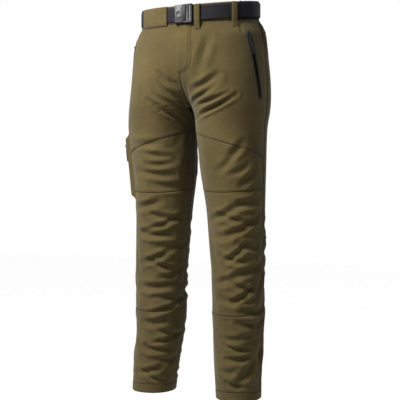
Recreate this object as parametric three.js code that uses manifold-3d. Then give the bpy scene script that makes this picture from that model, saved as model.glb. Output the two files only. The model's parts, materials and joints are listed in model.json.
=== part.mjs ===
// Outdoor work trousers with a webbing belt: cloth panels, waistband, fly, two zipped hand pockets,
// a bellows pocket on the right thigh, belt loops, belt, lever buckle and zip hardware.
// Millimetres, +Z up. The wearer faces -Y, so the wearer's left is +X.
// The origin is the middle of the waist opening at the height of the belt's centre line.
import * as THREE from "three";
import { mergeVertices } from "three/addons/utils/BufferGeometryUtils.js";
import Module from "manifold-3d";

const wasm = await Module();
wasm.setup();

// ---------------------------------------------------------------- driving dimensions
const GAP = 0.3; // between neighbouring pieces that are sewn or laid together
const CLOTH = 1.5; // two-layer shell cloth with its seam allowances
const SEAM_U = 0.0007; // half the gap at an upright seam, as a share of the way round a half

const BELT = { width: 38, thickness: 1.5, clear: 0.8, tipAngle: 82, tipLength: 9 };
const BAND = { height: BELT.width + 10, thickness: 2 }; // the waistband shows 5 above and below the belt
const WAIST = { halfWidth: 166, halfDepth: 119, tilt: 0.167 }; // tilt: rise per mm towards the back
const HIP = { z: -180, halfWidth: 195, halfDepth: 130 };
const FORK = { z: -265, halfWidth: 100, halfDepth: 112 };
const THIGH = { halfWidth: 94, halfDepth: 101 };
const KNEE = { z: -645, halfWidth: 73, halfDepth: 74 };
const HEM = { z: -1040, halfWidth: 60, halfDepth: 63, band: 24 };
const SQUARENESS = 2.15; // exponent of every section: 2 is an ellipse
const GROIN_BLEND = 0.2; // how softly the two legs run together, as a share of a leg's half width

const BUCKLE = { width: 50, centreX: 10, rail: 3.6, railClear: 1.9, floor: 1.0 };
const LOOP = { width: 14, thickness: 1.4, drop: 17, stand: 7.2 };
const TUNNEL = { from: -19, to: -58 }; // the wide loop at the right front, in degrees round the waist

const SLIDER = { width: 8.4, length: 12, plate: 1.2, web: 0.8, crown: 0.7, barSize: 1.3, barHeight: 2.0 };
const ZIP = { tape: 10, tapeThickness: 0.9, coil: 1.4, coilGap: SLIDER.web + 0.6, slot: SLIDER.width + 2, behind: 2.0 };
const ZIP_DEPTH = ZIP.behind + ZIP.tapeThickness + ZIP.coil + 0.4 + SLIDER.plate; // to the back of the slider
const PULL = { width: 8.5, length: 44, flyLength: 22, thickness: 2.0, frame: 1.6, eye: 5.2 };

const HAND_POCKET = { top: -66, bottom: -238, turnTop: 71, turnBottom: 76.5, bagDepth: 235, bagOffset: ZIP_DEPTH + 4.6 };
const CARGO = { top: -322, bottom: -504, turnFront: 70, turnBack: 112, bulge: 11, rim: 0.09, zipTurn: 77 };
const FLY = { top: -26, bottom: -160, width: 38, lap: 6, setBack: 3.6, stitchLength: 172, curve: 44 };

const SEAM = {
  thighInner: -310, // the slanting seam across the front of the thigh
  thighOuter: -396,
  kneeTop: -474,
  kneeBottom: -799,
  kneeSag: 13, // how much lower the knee seams run at the front of the leg
  backKnee: -612,
  yokeSide: -62,
  yokeBack: -92,
};

const RADIANS = Math.PI / 180;
const LEFT = 1;
const RIGHT = -1;

// ---------------------------------------------------------------- the body under the cloth
// Each row: height, half width, half depth of one leg's section, its depth offset, and its sideways
// place for the left and the right leg. Above the fork the two sections share the waist.
const onHip = (share) => WAIST.halfWidth + (HIP.halfWidth - WAIST.halfWidth) * share;
const STATIONS = [
  [60, WAIST.halfWidth - 2, WAIST.halfDepth - 1, 0, 0, 0],
  [BAND.height / 2, WAIST.halfWidth, WAIST.halfDepth, 0, 0, 0],
  [-BAND.height / 2, WAIST.halfWidth, WAIST.halfDepth, 0, 0, 0],
  [-46, onHip(0.38) - 5, WAIST.halfDepth + 4, 0, 5, 5],
  [-64, onHip(0.6) - 10, WAIST.halfDepth + 8, 0, 10, 10],
  [-120, onHip(0.84) - 30, HIP.halfDepth + 1, 2, 30, 30],
  [HIP.z, HIP.halfWidth - 60, HIP.halfDepth, 3, 60, 60],
  [-230, HIP.halfWidth - 84, HIP.halfDepth - 8, 0, 86, 87],
  [FORK.z, FORK.halfWidth, FORK.halfDepth, -4, 97, 101],
  [-313, THIGH.halfWidth, THIGH.halfDepth, -8, 98, 108],
  [-424, THIGH.halfWidth - 7, THIGH.halfDepth - 11, -10, 103, 102],
  [-534, KNEE.halfWidth + 4, KNEE.halfDepth + 5, -12, 112, 103],
  [KNEE.z, KNEE.halfWidth, KNEE.halfDepth, -8, 115, 111],
  [-755, KNEE.halfWidth - 4, KNEE.halfDepth - 4, 0, 114, 118],
  [-811, KNEE.halfWidth - 3, KNEE.halfDepth - 3, 4, 113, 121],
  [-866, KNEE.halfWidth - 6, KNEE.halfDepth - 6, 8, 110, 125],
  [-940, HEM.halfWidth + 4, HEM.halfDepth + 3, 12, 108, 138],
  [HEM.z, HEM.halfWidth, HEM.halfDepth, 16, 108, 150],
];

const clamp = (value, low, high) => Math.min(high, Math.max(low, value));
const lerp = (a, b, t) => a + (b - a) * t;
const smoothStep = (t) => t * t * (3 - 2 * t);

// The station values at a height, on a smooth curve through the rows. Two equal rows keep their value between them.
function sectionAt(z) {
  const last = STATIONS.length - 1;
  let i = 0;
  while (i < last - 1 && z < STATIONS[i + 1][0]) i++;
  const [before, a, b, after] = [Math.max(i - 1, 0), i, i + 1, Math.min(i + 2, last)].map((k) => STATIONS[k]);
  const t = clamp((a[0] - z) / (a[0] - b[0]), 0, 1);
  const span = a[0] - b[0];
  const values = a.map((start, k) => {
    if (start === b[k]) return start;
    const slopeIn = ((b[k] - before[k]) / (before[0] - b[0])) * span;
    const slopeOut = ((after[k] - a[k]) / (a[0] - after[0])) * span;
    const t2 = t * t;
    const t3 = t2 * t;
    return (2 * t3 - 3 * t2 + 1) * start + (t3 - 2 * t2 + t) * slopeIn + (3 * t2 - 2 * t3) * b[k] + (t3 - t2) * slopeOut;
  });
  const [, halfWidth, halfDepth, y, left, right] = values;
  return { halfWidth, halfDepth, y, x: { [LEFT]: left, [RIGHT]: -right } };
}

// Below 0 inside the body at this height, above 0 outside it.
function field(section, x, y) {
  const one = (centre) =>
    Math.pow(
      Math.pow(Math.abs(x - centre) / section.halfWidth, SQUARENESS) +
        Math.pow(Math.abs(y - section.y) / section.halfDepth, SQUARENESS),
      1 / SQUARENESS,
    ) - 1;
  const left = one(section.x[LEFT]);
  const right = one(section.x[RIGHT]);
  const blend = GROIN_BLEND * clamp(section.x[LEFT] / 60, 0.001, 1);
  const near = Math.max(blend - Math.abs(left - right), 0) / blend;
  return Math.min(left, right) - (near * near * blend) / 4;
}

// How far along a direction from a point inside the body its surface lies.
function reach(section, x, y, dx, dy) {
  const stride = 3;
  let far = 0.2 * section.halfDepth;
  while (field(section, x + dx * far, y + dy * far) < 0 && far < 400) far += stride;
  let near = far - stride;
  for (let i = 0; i < 24; i++) {
    const middle = (near + far) / 2;
    if (field(section, x + dx * middle, y + dy * middle) < 0) near = middle;
    else far = middle;
  }
  return (near + far) / 2;
}

// The depth of the surface in the middle plane, towards the front (-1) or the back (1), or null below the fork.
function middleDepth(section, towards) {
  if (field(section, 0, section.y) >= 0) return null;
  return section.y + towards * reach(section, 0, section.y, 0, towards);
}

// The waist leans: its front hangs lower than its back, and the lean fades out over the hip.
const lean = (y, z) => WAIST.tilt * y * smoothStep(clamp((z + 150) / 110, 0, 1));

// A point on the body. side is LEFT or RIGHT; u runs from the front middle or inseam (0), round the
// outside (0.5), to the back middle or inseam (1).
function onBody(side, u, z) {
  const section = sectionAt(z);
  const centre = section.x[side];
  const edge = (towards) => {
    const depth = middleDepth(section, towards);
    if (depth === null) return towards * Math.PI;
    return Math.atan2(depth - section.y, -Math.abs(centre));
  };
  const turn = lerp(edge(-1), edge(1), u);
  const dx = Math.cos(turn) * side;
  const dy = Math.sin(turn);
  const length = reach(section, centre, section.y, dx, dy);
  const x = side * Math.max(side * (centre + dx * length), 0);
  const y = section.y + dy * length;
  return new THREE.Vector3(x, y, z + lean(y, z));
}

// The same point moved out along the surface's normal.
function skin(side, u, z, offset = 0) {
  const point = onBody(side, u, z);
  if (offset === 0) return point;
  const across = onBody(side, Math.min(u + 0.01, 1), z).sub(onBody(side, Math.max(u - 0.01, 0), z));
  const down = onBody(side, u, z - 3).sub(onBody(side, u, z + 3));
  const normal = down.cross(across).multiplyScalar(side).normalize();
  point.addScaledVector(normal, offset);
  point.x = side * Math.max(side * point.x, 0.12);
  return point;
}

// Round the whole waist: degrees from the front middle, positive towards the wearer's left.
function waistPoint(degrees, z, offset = 0) {
  const angle = ((((degrees + 180) % 360) + 360) % 360) - 180;
  const side = angle < 0 ? RIGHT : LEFT;
  const point = onBody(side, Math.abs(angle) / 180, z);
  const next = onBody(side, clamp(Math.abs(angle) / 180 + 0.004, 0.004, 1), z);
  const back = onBody(side, clamp(Math.abs(angle) / 180 - 0.004, 0, 0.996), z);
  const along = next.sub(back).setZ(0).normalize();
  point.x += along.y * side * offset;
  point.y -= along.x * side * offset;
  return point;
}

// ---------------------------------------------------------------- closed solids from grids and sweeps
function geometryFrom(vertices, faces) {
  const flat = new Float32Array(vertices.length * 3);
  vertices.forEach((v, i) => v.toArray(flat, i * 3));
  return new THREE.BufferGeometry().setAttribute("position", new THREE.BufferAttribute(flat, 3)).setIndex(faces);
}

// Turns a closed geometry's faces outwards if they point in.
function facingOut(geometry) {
  const p = geometry.attributes.position;
  const index = geometry.index.array;
  const [a, b, c] = [new THREE.Vector3(), new THREE.Vector3(), new THREE.Vector3()];
  let volume = 0;
  for (let i = 0; i < index.length; i += 3) {
    a.fromBufferAttribute(p, index[i]);
    b.fromBufferAttribute(p, index[i + 1]);
    c.fromBufferAttribute(p, index[i + 2]);
    volume += a.dot(b.cross(c));
  }
  if (volume < 0) for (let i = 0; i < index.length; i += 3) [index[i + 1], index[i + 2]] = [index[i + 2], index[i + 1]];
  return geometry;
}

// A sheet with thickness. place(s, t, layer) gives a point, with layer 0 outside and 1 inside.
function sheet(place, columns, rows) {
  const vertices = [];
  const faces = [];
  const at = (layer, i, j) => (layer * (rows + 1) + j) * (columns + 1) + i;
  for (const layer of [0, 1])
    for (let j = 0; j <= rows; j++)
      for (let i = 0; i <= columns; i++) vertices.push(place(i / columns, j / rows, layer));
  const quad = (a, b, c, d) => faces.push(a, b, c, a, c, d);
  for (let j = 0; j < rows; j++)
    for (let i = 0; i < columns; i++) {
      quad(at(0, i, j), at(0, i + 1, j), at(0, i + 1, j + 1), at(0, i, j + 1));
      quad(at(1, i, j), at(1, i, j + 1), at(1, i + 1, j + 1), at(1, i + 1, j));
    }
  for (let i = 0; i < columns; i++) {
    quad(at(0, i, 0), at(1, i, 0), at(1, i + 1, 0), at(0, i + 1, 0));
    quad(at(0, i, rows), at(0, i + 1, rows), at(1, i + 1, rows), at(1, i, rows));
  }
  for (let j = 0; j < rows; j++) {
    quad(at(0, 0, j), at(0, 0, j + 1), at(1, 0, j + 1), at(1, 0, j));
    quad(at(0, columns, j), at(1, columns, j), at(1, columns, j + 1), at(0, columns, j + 1));
  }
  return facingOut(geometryFrom(vertices, faces));
}

// The triangles that fill a flat outline, each turning the same way as the outline does.
function fillOf(outline) {
  const flat = outline.map(([x, y]) => new THREE.Vector2(x, y));
  const turn = (corners) => Math.sign(THREE.ShapeUtils.area(corners));
  return THREE.ShapeUtils.triangulateShape(flat, []).map(([a, b, c]) =>
    turn([flat[a], flat[b], flat[c]]) === turn(flat) ? [a, b, c] : [a, c, b],
  );
}

// A profile of [height, offset] corners swept round the waist between two angles.
function waistSweep(profile, from, to, steps) {
  const vertices = [];
  const faces = [];
  const n = profile.length;
  for (let i = 0; i <= steps; i++)
    for (const [z, offset] of profile) vertices.push(waistPoint(lerp(from, to, i / steps), z, offset));
  for (let i = 0; i < steps; i++)
    for (let k = 0; k < n; k++) {
      const [a, b] = [i * n + k, i * n + ((k + 1) % n)];
      faces.push(a, b, b + n, a, b + n, a + n);
    }
  for (const [a, b, c] of fillOf(profile)) faces.push(c, b, a, steps * n + a, steps * n + b, steps * n + c);
  return facingOut(geometryFrom(vertices, faces));
}

// Extrudes an outline of [x, y] corners, with holes of the same kind, from low to high along z.
function extrude(outline, low, high, holes = []) {
  const shape = new THREE.Shape(outline.map(([x, y]) => new THREE.Vector2(x, y)));
  shape.holes = holes.map((hole) => new THREE.Path(hole.map(([x, y]) => new THREE.Vector2(x, y))));
  return new THREE.ExtrudeGeometry(shape, { depth: high - low, bevelEnabled: false }).translate(0, 0, low);
}

const rectangle = (x0, y0, x1, y1) => [[x0, y0], [x1, y0], [x1, y1], [x0, y1]];

// A rectangle with its corners cut at 45 degrees.
const clipped = (x0, y0, x1, y1, c) => [
  [x0 + c, y0], [x1 - c, y0], [x1, y0 + c], [x1, y1 - c], [x1 - c, y1], [x0 + c, y1], [x0, y1 - c], [x0, y0 + c],
];

const circle = (x, y, radius, sides = 20) =>
  Array.from({ length: sides }, (_, i) => {
    const turn = (2 * Math.PI * i) / sides;
    return [x + radius * Math.cos(turn), y + radius * Math.sin(turn)];
  });

function box(x0, y0, z0, x1, y1, z1) {
  return new THREE.BoxGeometry(x1 - x0, y1 - y0, z1 - z0).translate((x0 + x1) / 2, (y0 + y1) / 2, (z0 + z1) / 2);
}

function solidOf(geometry) {
  const bare = geometry.clone();
  bare.deleteAttribute("normal");
  bare.deleteAttribute("uv");
  const merged = mergeVertices(bare, 1e-4);
  return new wasm.Manifold(
    new wasm.Mesh({
      numProp: 3,
      vertProperties: new Float32Array(merged.attributes.position.array),
      triVerts: new Uint32Array(merged.index.array),
    }),
  );
}

function geometryOf(solid) {
  const mesh = solid.getMesh();
  return new THREE.BufferGeometry()
    .setAttribute("position", new THREE.BufferAttribute(new Float32Array(mesh.vertProperties), 3))
    .setIndex(new THREE.BufferAttribute(new Uint32Array(mesh.triVerts), 1));
}

const join = (...pieces) => geometryOf(pieces.map(solidOf).reduce((a, b) => a.add(b)));
const cut = (piece, ...tools) => geometryOf(tools.map(solidOf).reduce((a, b) => a.subtract(b), solidOf(piece)));

// ---------------------------------------------------------------- materials
const material = (color, roughness, metalness = 0) => new THREE.MeshStandardMaterial({ color, roughness, metalness });
const CLOTH_OLIVE = material(0x6b5f3c, 0.85);
const CLOTH_INNER = material(0x55502f, 0.9);
const ELASTIC = material(0x1b1a1a, 0.9);
const WEBBING = material(0x202023, 0.75);
const ZIP_TAPE = material(0x141313, 0.8);
const MOULDED = material(0x17171a, 0.45);
const RUBBER = material(0x121212, 0.7);
const STEEL = material(0xb9bbbd, 0.3, 1);
const BADGE = material(0x66686b, 0.4, 0.6);
const SNAP = material(0x3a3630, 0.4, 0.9);

const trousers = new THREE.Group();
function add(name, geometry, finish, placement = null) {
  const mesh = new THREE.Mesh(geometry, finish);
  mesh.name = name;
  if (placement) mesh.applyMatrix4(placement);
  trousers.add(mesh);
  return mesh;
}

const sideName = (side) => (side === LEFT ? "left" : "right");

// ---------------------------------------------------------------- zips
// A zip's own frame: y runs up the zip, z out of the cloth, and its origin is the zip's top end.
// It is anchored on the cloth at both ends, so it runs straight between them.
function zipFrame(top, bottom, outward) {
  const up = top.clone().sub(bottom);
  const length = up.length();
  up.normalize();
  const out = outward.clone().addScaledVector(up, -outward.dot(up)).normalize();
  const sideways = up.clone().cross(out);
  const matrix = new THREE.Matrix4().makeBasis(sideways, up, out).setPosition(top);
  return { matrix, length };
}

const TAPE_TOP = -ZIP.behind;
const COIL_TOP = TAPE_TOP - ZIP.tapeThickness;
const COIL_BOTTOM = COIL_TOP - ZIP.coil;
const LOWER_PLATE = COIL_BOTTOM - 0.4;
const SLIDER_INSET = 3; // from the zip's top end to the slider's

// One half of a zip: a tape with its coil along the middle, on side 1 or -1 of the zip.
function zipHalf(length, side) {
  const inner = ZIP.coilGap / 2;
  const profile = [
    [inner, COIL_BOTTOM], [inner + ZIP.coil, COIL_BOTTOM], [inner + ZIP.coil, COIL_TOP],
    [inner + ZIP.tape, COIL_TOP], [inner + ZIP.tape, TAPE_TOP], [inner, TAPE_TOP],
  ].map(([x, z]) => [x * side, z]);
  const strip = extrude(profile, 0, length);
  return facingOut(mergeVertices(stripped(strip.rotateX(Math.PI / 2)), 1e-4));
}

function stripped(geometry) {
  geometry.deleteAttribute("normal");
  geometry.deleteAttribute("uv");
  return geometry;
}

// The slider: a crown above the tapes and a plate below them, joined by a thin web that runs
// between the coils, with a bail that the pull hangs in.
function zipSlider() {
  const half = SLIDER.width / 2;
  const y0 = -SLIDER_INSET - SLIDER.length;
  const y1 = -SLIDER_INSET;
  const crown = extrude(clipped(-half, y0, half, y1, 1.6), TAPE_TOP + 0.4, SLIDER.crown);
  const plate = extrude(clipped(-half, y0, half, y1, 1.6), LOWER_PLATE - SLIDER.plate, LOWER_PLATE);
  const web = box(-SLIDER.web / 2, y0 + 2, LOWER_PLATE - 0.2, SLIDER.web / 2, y1 - 2, TAPE_TOP + 0.6);
  return join(crown, plate, web, bail((y0 + y1) / 2));
}

// An arch over the crown, seen from the side: the pull's bar runs through it.
function bail(y) {
  const leg = 1.3;
  const hole = SLIDER.barSize + 0.9;
  const low = SLIDER.crown - 0.2;
  const holeLow = SLIDER.barHeight - hole / 2;
  const holeHigh = SLIDER.barHeight + hole / 2;
  const outline = clipped(-hole / 2 - leg, low, hole / 2 + leg, holeHigh + leg, 0.8);
  const arch = extrude(outline, -1.1, 1.1, [rectangle(-hole / 2, holeLow, hole / 2, holeHigh).reverse()]);
  // The outline was drawn as [along the zip, out of the cloth]; stand it up.
  return stripped(arch).applyMatrix4(
    new THREE.Matrix4().makeBasis(new THREE.Vector3(0, 1, 0), new THREE.Vector3(0, 0, 1), new THREE.Vector3(1, 0, 0)).setPosition(0, y, 0),
  );
}

// The pull hangs from its bar: a frame round the bail, then a ribbed moulded tab.
function zipPull(length) {
  const y = -SLIDER_INSET - SLIDER.length / 2;
  const half = PULL.width / 2;
  const eyeHalf = half - PULL.frame;
  const bar = SLIDER.barSize / 2;
  const outline = clipped(-half, y - length, half, y + bar, 1.5);
  const eye = rectangle(-eyeHalf, y - bar - PULL.eye, eyeHalf, y - bar).reverse();
  const low = SLIDER.barHeight - bar;
  const frame = extrude(outline, low, low + SLIDER.barSize, [eye]);
  const gripTop = y - PULL.eye - 0.2 * length;
  const grip = extrude(clipped(-half, y - length, half, gripTop, 1.5), low - 0.2, low + PULL.thickness);
  return join(frame, grip);
}

function addZip(name, frame, pullLength = PULL.length) {
  add(`${name}_tape_front`, zipHalf(frame.length, frame.frontSide), ZIP_TAPE, frame.matrix);
  add(`${name}_tape_rear`, zipHalf(frame.length, -frame.frontSide), ZIP_TAPE, frame.matrix);
  add(`${name}_slider`, zipSlider(), MOULDED, frame.matrix);
  add(`${name}_pull`, zipPull(pullLength), RUBBER, frame.matrix);
}

// The slot that a zip needs through cloth, and the flat room behind it for the tapes and slider.
function zipRoom(frame, openTop = 0) {
  const half = ZIP.slot / 2;
  const wide = ZIP.coilGap / 2 + ZIP.tape + GAP;
  const slot = box(-half, -frame.length + 4, -12, half, -2 + openTop, 14);
  const room = box(-wide, -frame.length - GAP, -12, wide, GAP + openTop, TAPE_TOP + GAP);
  return [slot, room].map((tool) => tool.applyMatrix4(frame.matrix));
}

function pocketZipFrame(side) {
  const face = (t, lift = 0) => {
    const turn = lerp(HAND_POCKET.turnTop, HAND_POCKET.turnBottom, t);
    return skin(side, turn / 180, lerp(HAND_POCKET.top, HAND_POCKET.bottom, t), lift);
  };
  return { ...zipBehind(face), frontSide: -side };
}

// A zip that runs straight along a cloth face and stays behind it. face(t, lift) is a point of the face.
function zipBehind(face, from = 0, to = 1) {
  const middle = (from + to) / 2;
  const outward = face(middle, 10).sub(face(middle)).normalize();
  const [top, bottom] = [face(from), face(to)];
  let proud = 0;
  for (let k = 1; k < 8; k++) {
    const chord = top.clone().lerp(bottom, k / 8);
    proud = Math.max(proud, chord.sub(face(lerp(from, to, k / 8))).dot(outward));
  }
  for (const end of [top, bottom]) end.addScaledVector(outward, -proud);
  return zipFrame(top, bottom, outward);
}

// The bellows pocket's outer face stands proud of the leg, and falls to it at its rim.
function cargoOffset(s, t) {
  const rise = (share) => smoothStep(clamp(Math.min(share, 1 - share) / CARGO.rim, 0, 1));
  return 2 + (CARGO.bulge - 2) * rise(s) * rise(t);
}

const cargoTurn = (s) => lerp(CARGO.turnFront, CARGO.turnBack, s) / 180;
const cargoHeight = (t) => lerp(CARGO.top, CARGO.bottom, t);
const cargoZipShare = (CARGO.zipTurn - CARGO.turnFront) / (CARGO.turnBack - CARGO.turnFront);

function cargoZipFrame() {
  const face = (t, lift = 0) => skin(RIGHT, CARGO.zipTurn / 180, cargoHeight(t), cargoOffset(cargoZipShare, t) + lift);
  return { ...zipBehind(face, 0.12, 0.88), frontSide: LEFT };
}

// The fly zip stands just behind the front edges of the cloth, in the middle plane.
function flyZipFrame() {
  const at = (z) => new THREE.Vector3(0, middleDepth(sectionAt(z), -1), 0).setZ(z).add(new THREE.Vector3(0, FLY.setBack, 0));
  const leaned = (p) => p.setZ(p.z + lean(p.y, p.z));
  return { ...zipFrame(leaned(at(FLY.top)), leaned(at(FLY.bottom)), new THREE.Vector3(0, -1, 0)), frontSide: LEFT };
}

const handZips = { [LEFT]: pocketZipFrame(LEFT), [RIGHT]: pocketZipFrame(RIGHT) };
const cargoZip = cargoZipFrame();
const flyZip = flyZipFrame();

// ---------------------------------------------------------------- cloth panels
const bandBottom = -BAND.height / 2;
const sag = (u) => SEAM.kneeSag * Math.sin(clamp(u / 0.5, 0, 1) * Math.PI);
const seamLines = {
  bandBottom: () => bandBottom,
  thigh: (u) => lerp(SEAM.thighInner, SEAM.thighOuter, u / 0.5),
  kneeTop: (u) => SEAM.kneeTop - sag(u),
  kneeBottom: (u) => SEAM.kneeBottom - sag(u),
  hemBand: () => HEM.z + HEM.band,
  yoke: (u) => lerp(SEAM.yokeSide, SEAM.yokeBack, (u - 0.5) / 0.5),
  backKnee: () => SEAM.backKnee,
};

// A panel between two upright seams (as shares of the way round) and two seam lines.
function panel(side, u0, u1, topLine, bottomLine, columns, rows, ease = (t) => t) {
  return sheet(
    (s, t, layer) => {
      const u = lerp(u0 + SEAM_U, u1 - SEAM_U, s);
      const z = lerp(topLine(u) - GAP / 2, bottomLine(u) + GAP / 2, ease(t));
      return skin(side, u, z, -CLOTH * layer);
    },
    columns,
    rows,
  );
}

// Rows of the panels that hold the fork lie closer together near it.
const forkEase = (t) => t + 0.1 * Math.sin(2 * Math.PI * t) * t;

for (const side of [LEFT, RIGHT]) {
  const name = sideName(side);
  const front = panel(side, 0, 0.5, seamLines.bandBottom, seamLines.thigh, 11, 14, forkEase);
  add(`${name}_front_panel`, cut(front, ...zipRoom(handZips[side]), ...zipRoom(flyZip, 40)), CLOTH_OLIVE);
  add(`${name}_thigh_panel`, panel(side, 0, 0.5, seamLines.thigh, seamLines.kneeTop, 10, 4), CLOTH_OLIVE);
  add(`${name}_knee_panel`, panel(side, 0, 0.5, seamLines.kneeTop, seamLines.kneeBottom, 9, 7), CLOTH_OLIVE);
  add(`${name}_shin_panel`, panel(side, 0, 0.5, seamLines.kneeBottom, seamLines.hemBand, 9, 5), CLOTH_OLIVE);
  add(`${name}_back_yoke`, panel(side, 0.5, 1, seamLines.bandBottom, seamLines.yoke, 10, 2), CLOTH_OLIVE);
  add(`${name}_back_panel`, panel(side, 0.5, 1, seamLines.yoke, seamLines.backKnee, 10, 16), CLOTH_OLIVE);
  add(`${name}_calf_panel`, panel(side, 0.5, 1, seamLines.backKnee, seamLines.hemBand, 9, 9), CLOTH_OLIVE);
  add(`${name}_hem_band`, hemBand(side), CLOTH_OLIVE);
  add(`${name}_hand_pocket_bag`, pocketBag(side), CLOTH_INNER);
}

// A closed ring of doubled cloth at the foot of the leg.
function hemBand(side) {
  const around = 22;
  const vertices = [];
  const faces = [];
  const corners = [
    [HEM.z + HEM.band - GAP / 2, 0], [HEM.z, 0], [HEM.z, -CLOTH - 0.5], [HEM.z + HEM.band - GAP / 2, -CLOTH - 0.5],
  ];
  for (let i = 0; i < around; i++) for (const [z, offset] of corners) vertices.push(skinFlat(side, i / around, z, offset));
  for (let i = 0; i < around; i++)
    for (let k = 0; k < 4; k++) {
      const next = (i + 1) % around;
      const [a, b, c, d] = [i * 4 + k, i * 4 + ((k + 1) % 4), next * 4 + ((k + 1) % 4), next * 4 + k];
      faces.push(a, b, c, a, c, d);
    }
  return facingOut(geometryFrom(vertices, faces));
}

// A point on the leg's section moved level along the section's own radius, so a hem's foot stays flat.
function skinFlat(side, u, z, offset) {
  const point = onBody(side, u, z);
  const section = sectionAt(z);
  const radius = new THREE.Vector2(point.x - section.x[side], point.y - section.y);
  radius.setLength(radius.length() + offset);
  return new THREE.Vector3(section.x[side] + radius.x, section.y + radius.y, z);
}

// A flat pouch that lies behind the front panel and takes the pocket zip's length along its outer edge.
function pocketBag(side) {
  const top = HAND_POCKET.top + 8;
  return sheet(
    (s, t, layer) => {
      const z = lerp(top, top - HAND_POCKET.bagDepth, t);
      const reachIn = lerp(52, 34, smoothStep(t));
      const u = lerp(reachIn, HAND_POCKET.turnBottom + 5, s) / 180;
      return skin(side, u, z, -HAND_POCKET.bagOffset - 2 * layer);
    },
    5,
    7,
  );
}

// ---------------------------------------------------------------- fly
// A point on the front of the body at a given distance from the middle plane.
function frontPoint(x, z, offset) {
  const depth = (px, pz) => {
    const section = sectionAt(pz);
    return section.y - reach(section, px, section.y, 0, -1);
  };
  const y = depth(x, z);
  const slope = (depth(x + 2, z) - depth(x - 2, z)) / 4;
  const normal = new THREE.Vector2(slope, -1).normalize();
  return new THREE.Vector3(x + normal.x * offset, y + normal.y * offset, z + lean(y, z));
}

// The placket laps over the zip from the wearer's left, and curves in to the middle at its foot.
function placket() {
  const top = bandBottom - 1.6;
  const bottom = -FLY.stitchLength;
  return sheet(
    (s, t, layer) => {
      const z = lerp(top, bottom, t);
      const below = clamp((bottom + FLY.curve - z) / FLY.curve, 0, 1);
      const outer = FLY.width * Math.sqrt(1 - 0.97 * below * below);
      return frontPoint(lerp(-FLY.lap, outer, s), z, 0.9 + CLOTH * (1 - layer));
    },
    4,
    9,
  );
}

// The shield stands behind the zip and carries the waist snap's stud on its top tab.
function flyShield() {
  const shieldTop = BAND.thickness + 10.5;
  const shieldBelow = FLY.setBack + ZIP_DEPTH + 8.5;
  return sheet(
    (s, t, layer) => {
      const z = lerp(BAND.height / 2 - 4, FLY.bottom - 6, t);
      const depth = lerp(shieldTop, shieldBelow, smoothStep(clamp((bandBottom - z) / 20, 0, 1)));
      return frontPoint(lerp(-17, 26, s), z, -depth - CLOTH * layer);
    },
    3,
    8,
  );
}

add("fly_placket", placket(), CLOTH_OLIVE);
add("fly_shield", flyShield(), CLOTH_INNER);

// ---------------------------------------------------------------- waistband
const bandProfile = (offset, thickness) => [
  [BAND.height / 2, offset], [bandBottom, offset], [bandBottom, offset - thickness], [BAND.height / 2, offset - thickness],
];
const BAND_JOIN = { flyEdge: -3.5, elasticFront: 64, elasticBack: 118 };
const degreesGap = 0.09;

function bandPart(from, to, steps, profile = bandProfile(0, BAND.thickness)) {
  return waistSweep(profile, from + degreesGap, to - degreesGap, steps);
}

const SNAP_AT = -1;
const snapFrame = () => {
  const face = frontPoint(SNAP_AT, 0, 0);
  return new THREE.Matrix4().makeRotationX(Math.PI / 2).setPosition(face);
};
const SNAP_SIZE = { cap: 5.6, capThickness: 0.7, stem: 1.8, socket: 5.2, stud: 4.6 };

// Turned parts: each profile is [radius, height] and starts and ends on the axis.
const turned = (profile, sides = 20) =>
  new THREE.LatheGeometry(profile.map(([r, z]) => new THREE.Vector2(r, z)), sides).rotateX(Math.PI / 2);

function snapCap() {
  const { cap, capThickness, stem } = SNAP_SIZE;
  return turned([
    [0, -BAND.thickness - 1.2], [stem, -BAND.thickness - 1.2], [stem, 0.25], [cap, 0.25],
    [cap, 0.25 + capThickness * 0.5], [cap - 1.2, 0.25 + capThickness], [0, 0.25 + capThickness],
  ]);
}

function snapSocket() {
  const { socket, stem } = SNAP_SIZE;
  const back = -BAND.thickness - 0.4;
  const ring = [
    [stem + 0.4, back], [socket, back], [socket, back - 2.2], [socket - 1.4, back - 2.6], [stem + 0.4, back - 2.6],
    [stem + 0.4, back],
  ];
  return turned(ring.reverse());
}

function snapStud() {
  const { stud } = SNAP_SIZE;
  const plate = -BAND.thickness - 10.2;
  return turned([
    [0, plate], [stud + 1, plate], [stud + 1, plate + 0.9], [1.6, plate + 0.9], [1.6, plate + 3.6], [2.2, plate + 4.2],
    [1.5, plate + 5.2], [0, plate + 5.2],
  ]);
}

const stemHole = new THREE.CylinderGeometry(SNAP_SIZE.stem + 0.4, SNAP_SIZE.stem + 0.4, 12, 20)
  .rotateX(Math.PI / 2)
  .applyMatrix4(snapFrame());

add("waistband_left_front", cut(bandPart(BAND_JOIN.flyEdge, BAND_JOIN.elasticFront, 11), stemHole), CLOTH_OLIVE);
add("waistband_right_front", bandPart(-BAND_JOIN.elasticFront, BAND_JOIN.flyEdge, 10), CLOTH_OLIVE);
add("waistband_left_elastic", bandPart(BAND_JOIN.elasticFront, BAND_JOIN.elasticBack, 9), ELASTIC);
add("waistband_right_elastic", bandPart(-BAND_JOIN.elasticBack, -BAND_JOIN.elasticFront, 9), ELASTIC);
add("waistband_back", bandPart(BAND_JOIN.elasticBack, 360 - BAND_JOIN.elasticBack, 18), CLOTH_OLIVE);
add("waist_snap_cap", snapCap(), SNAP, snapFrame());
add("waist_snap_socket", snapSocket(), SNAP, snapFrame());
add("waist_snap_stud", snapStud(), SNAP, snapFrame());

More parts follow.
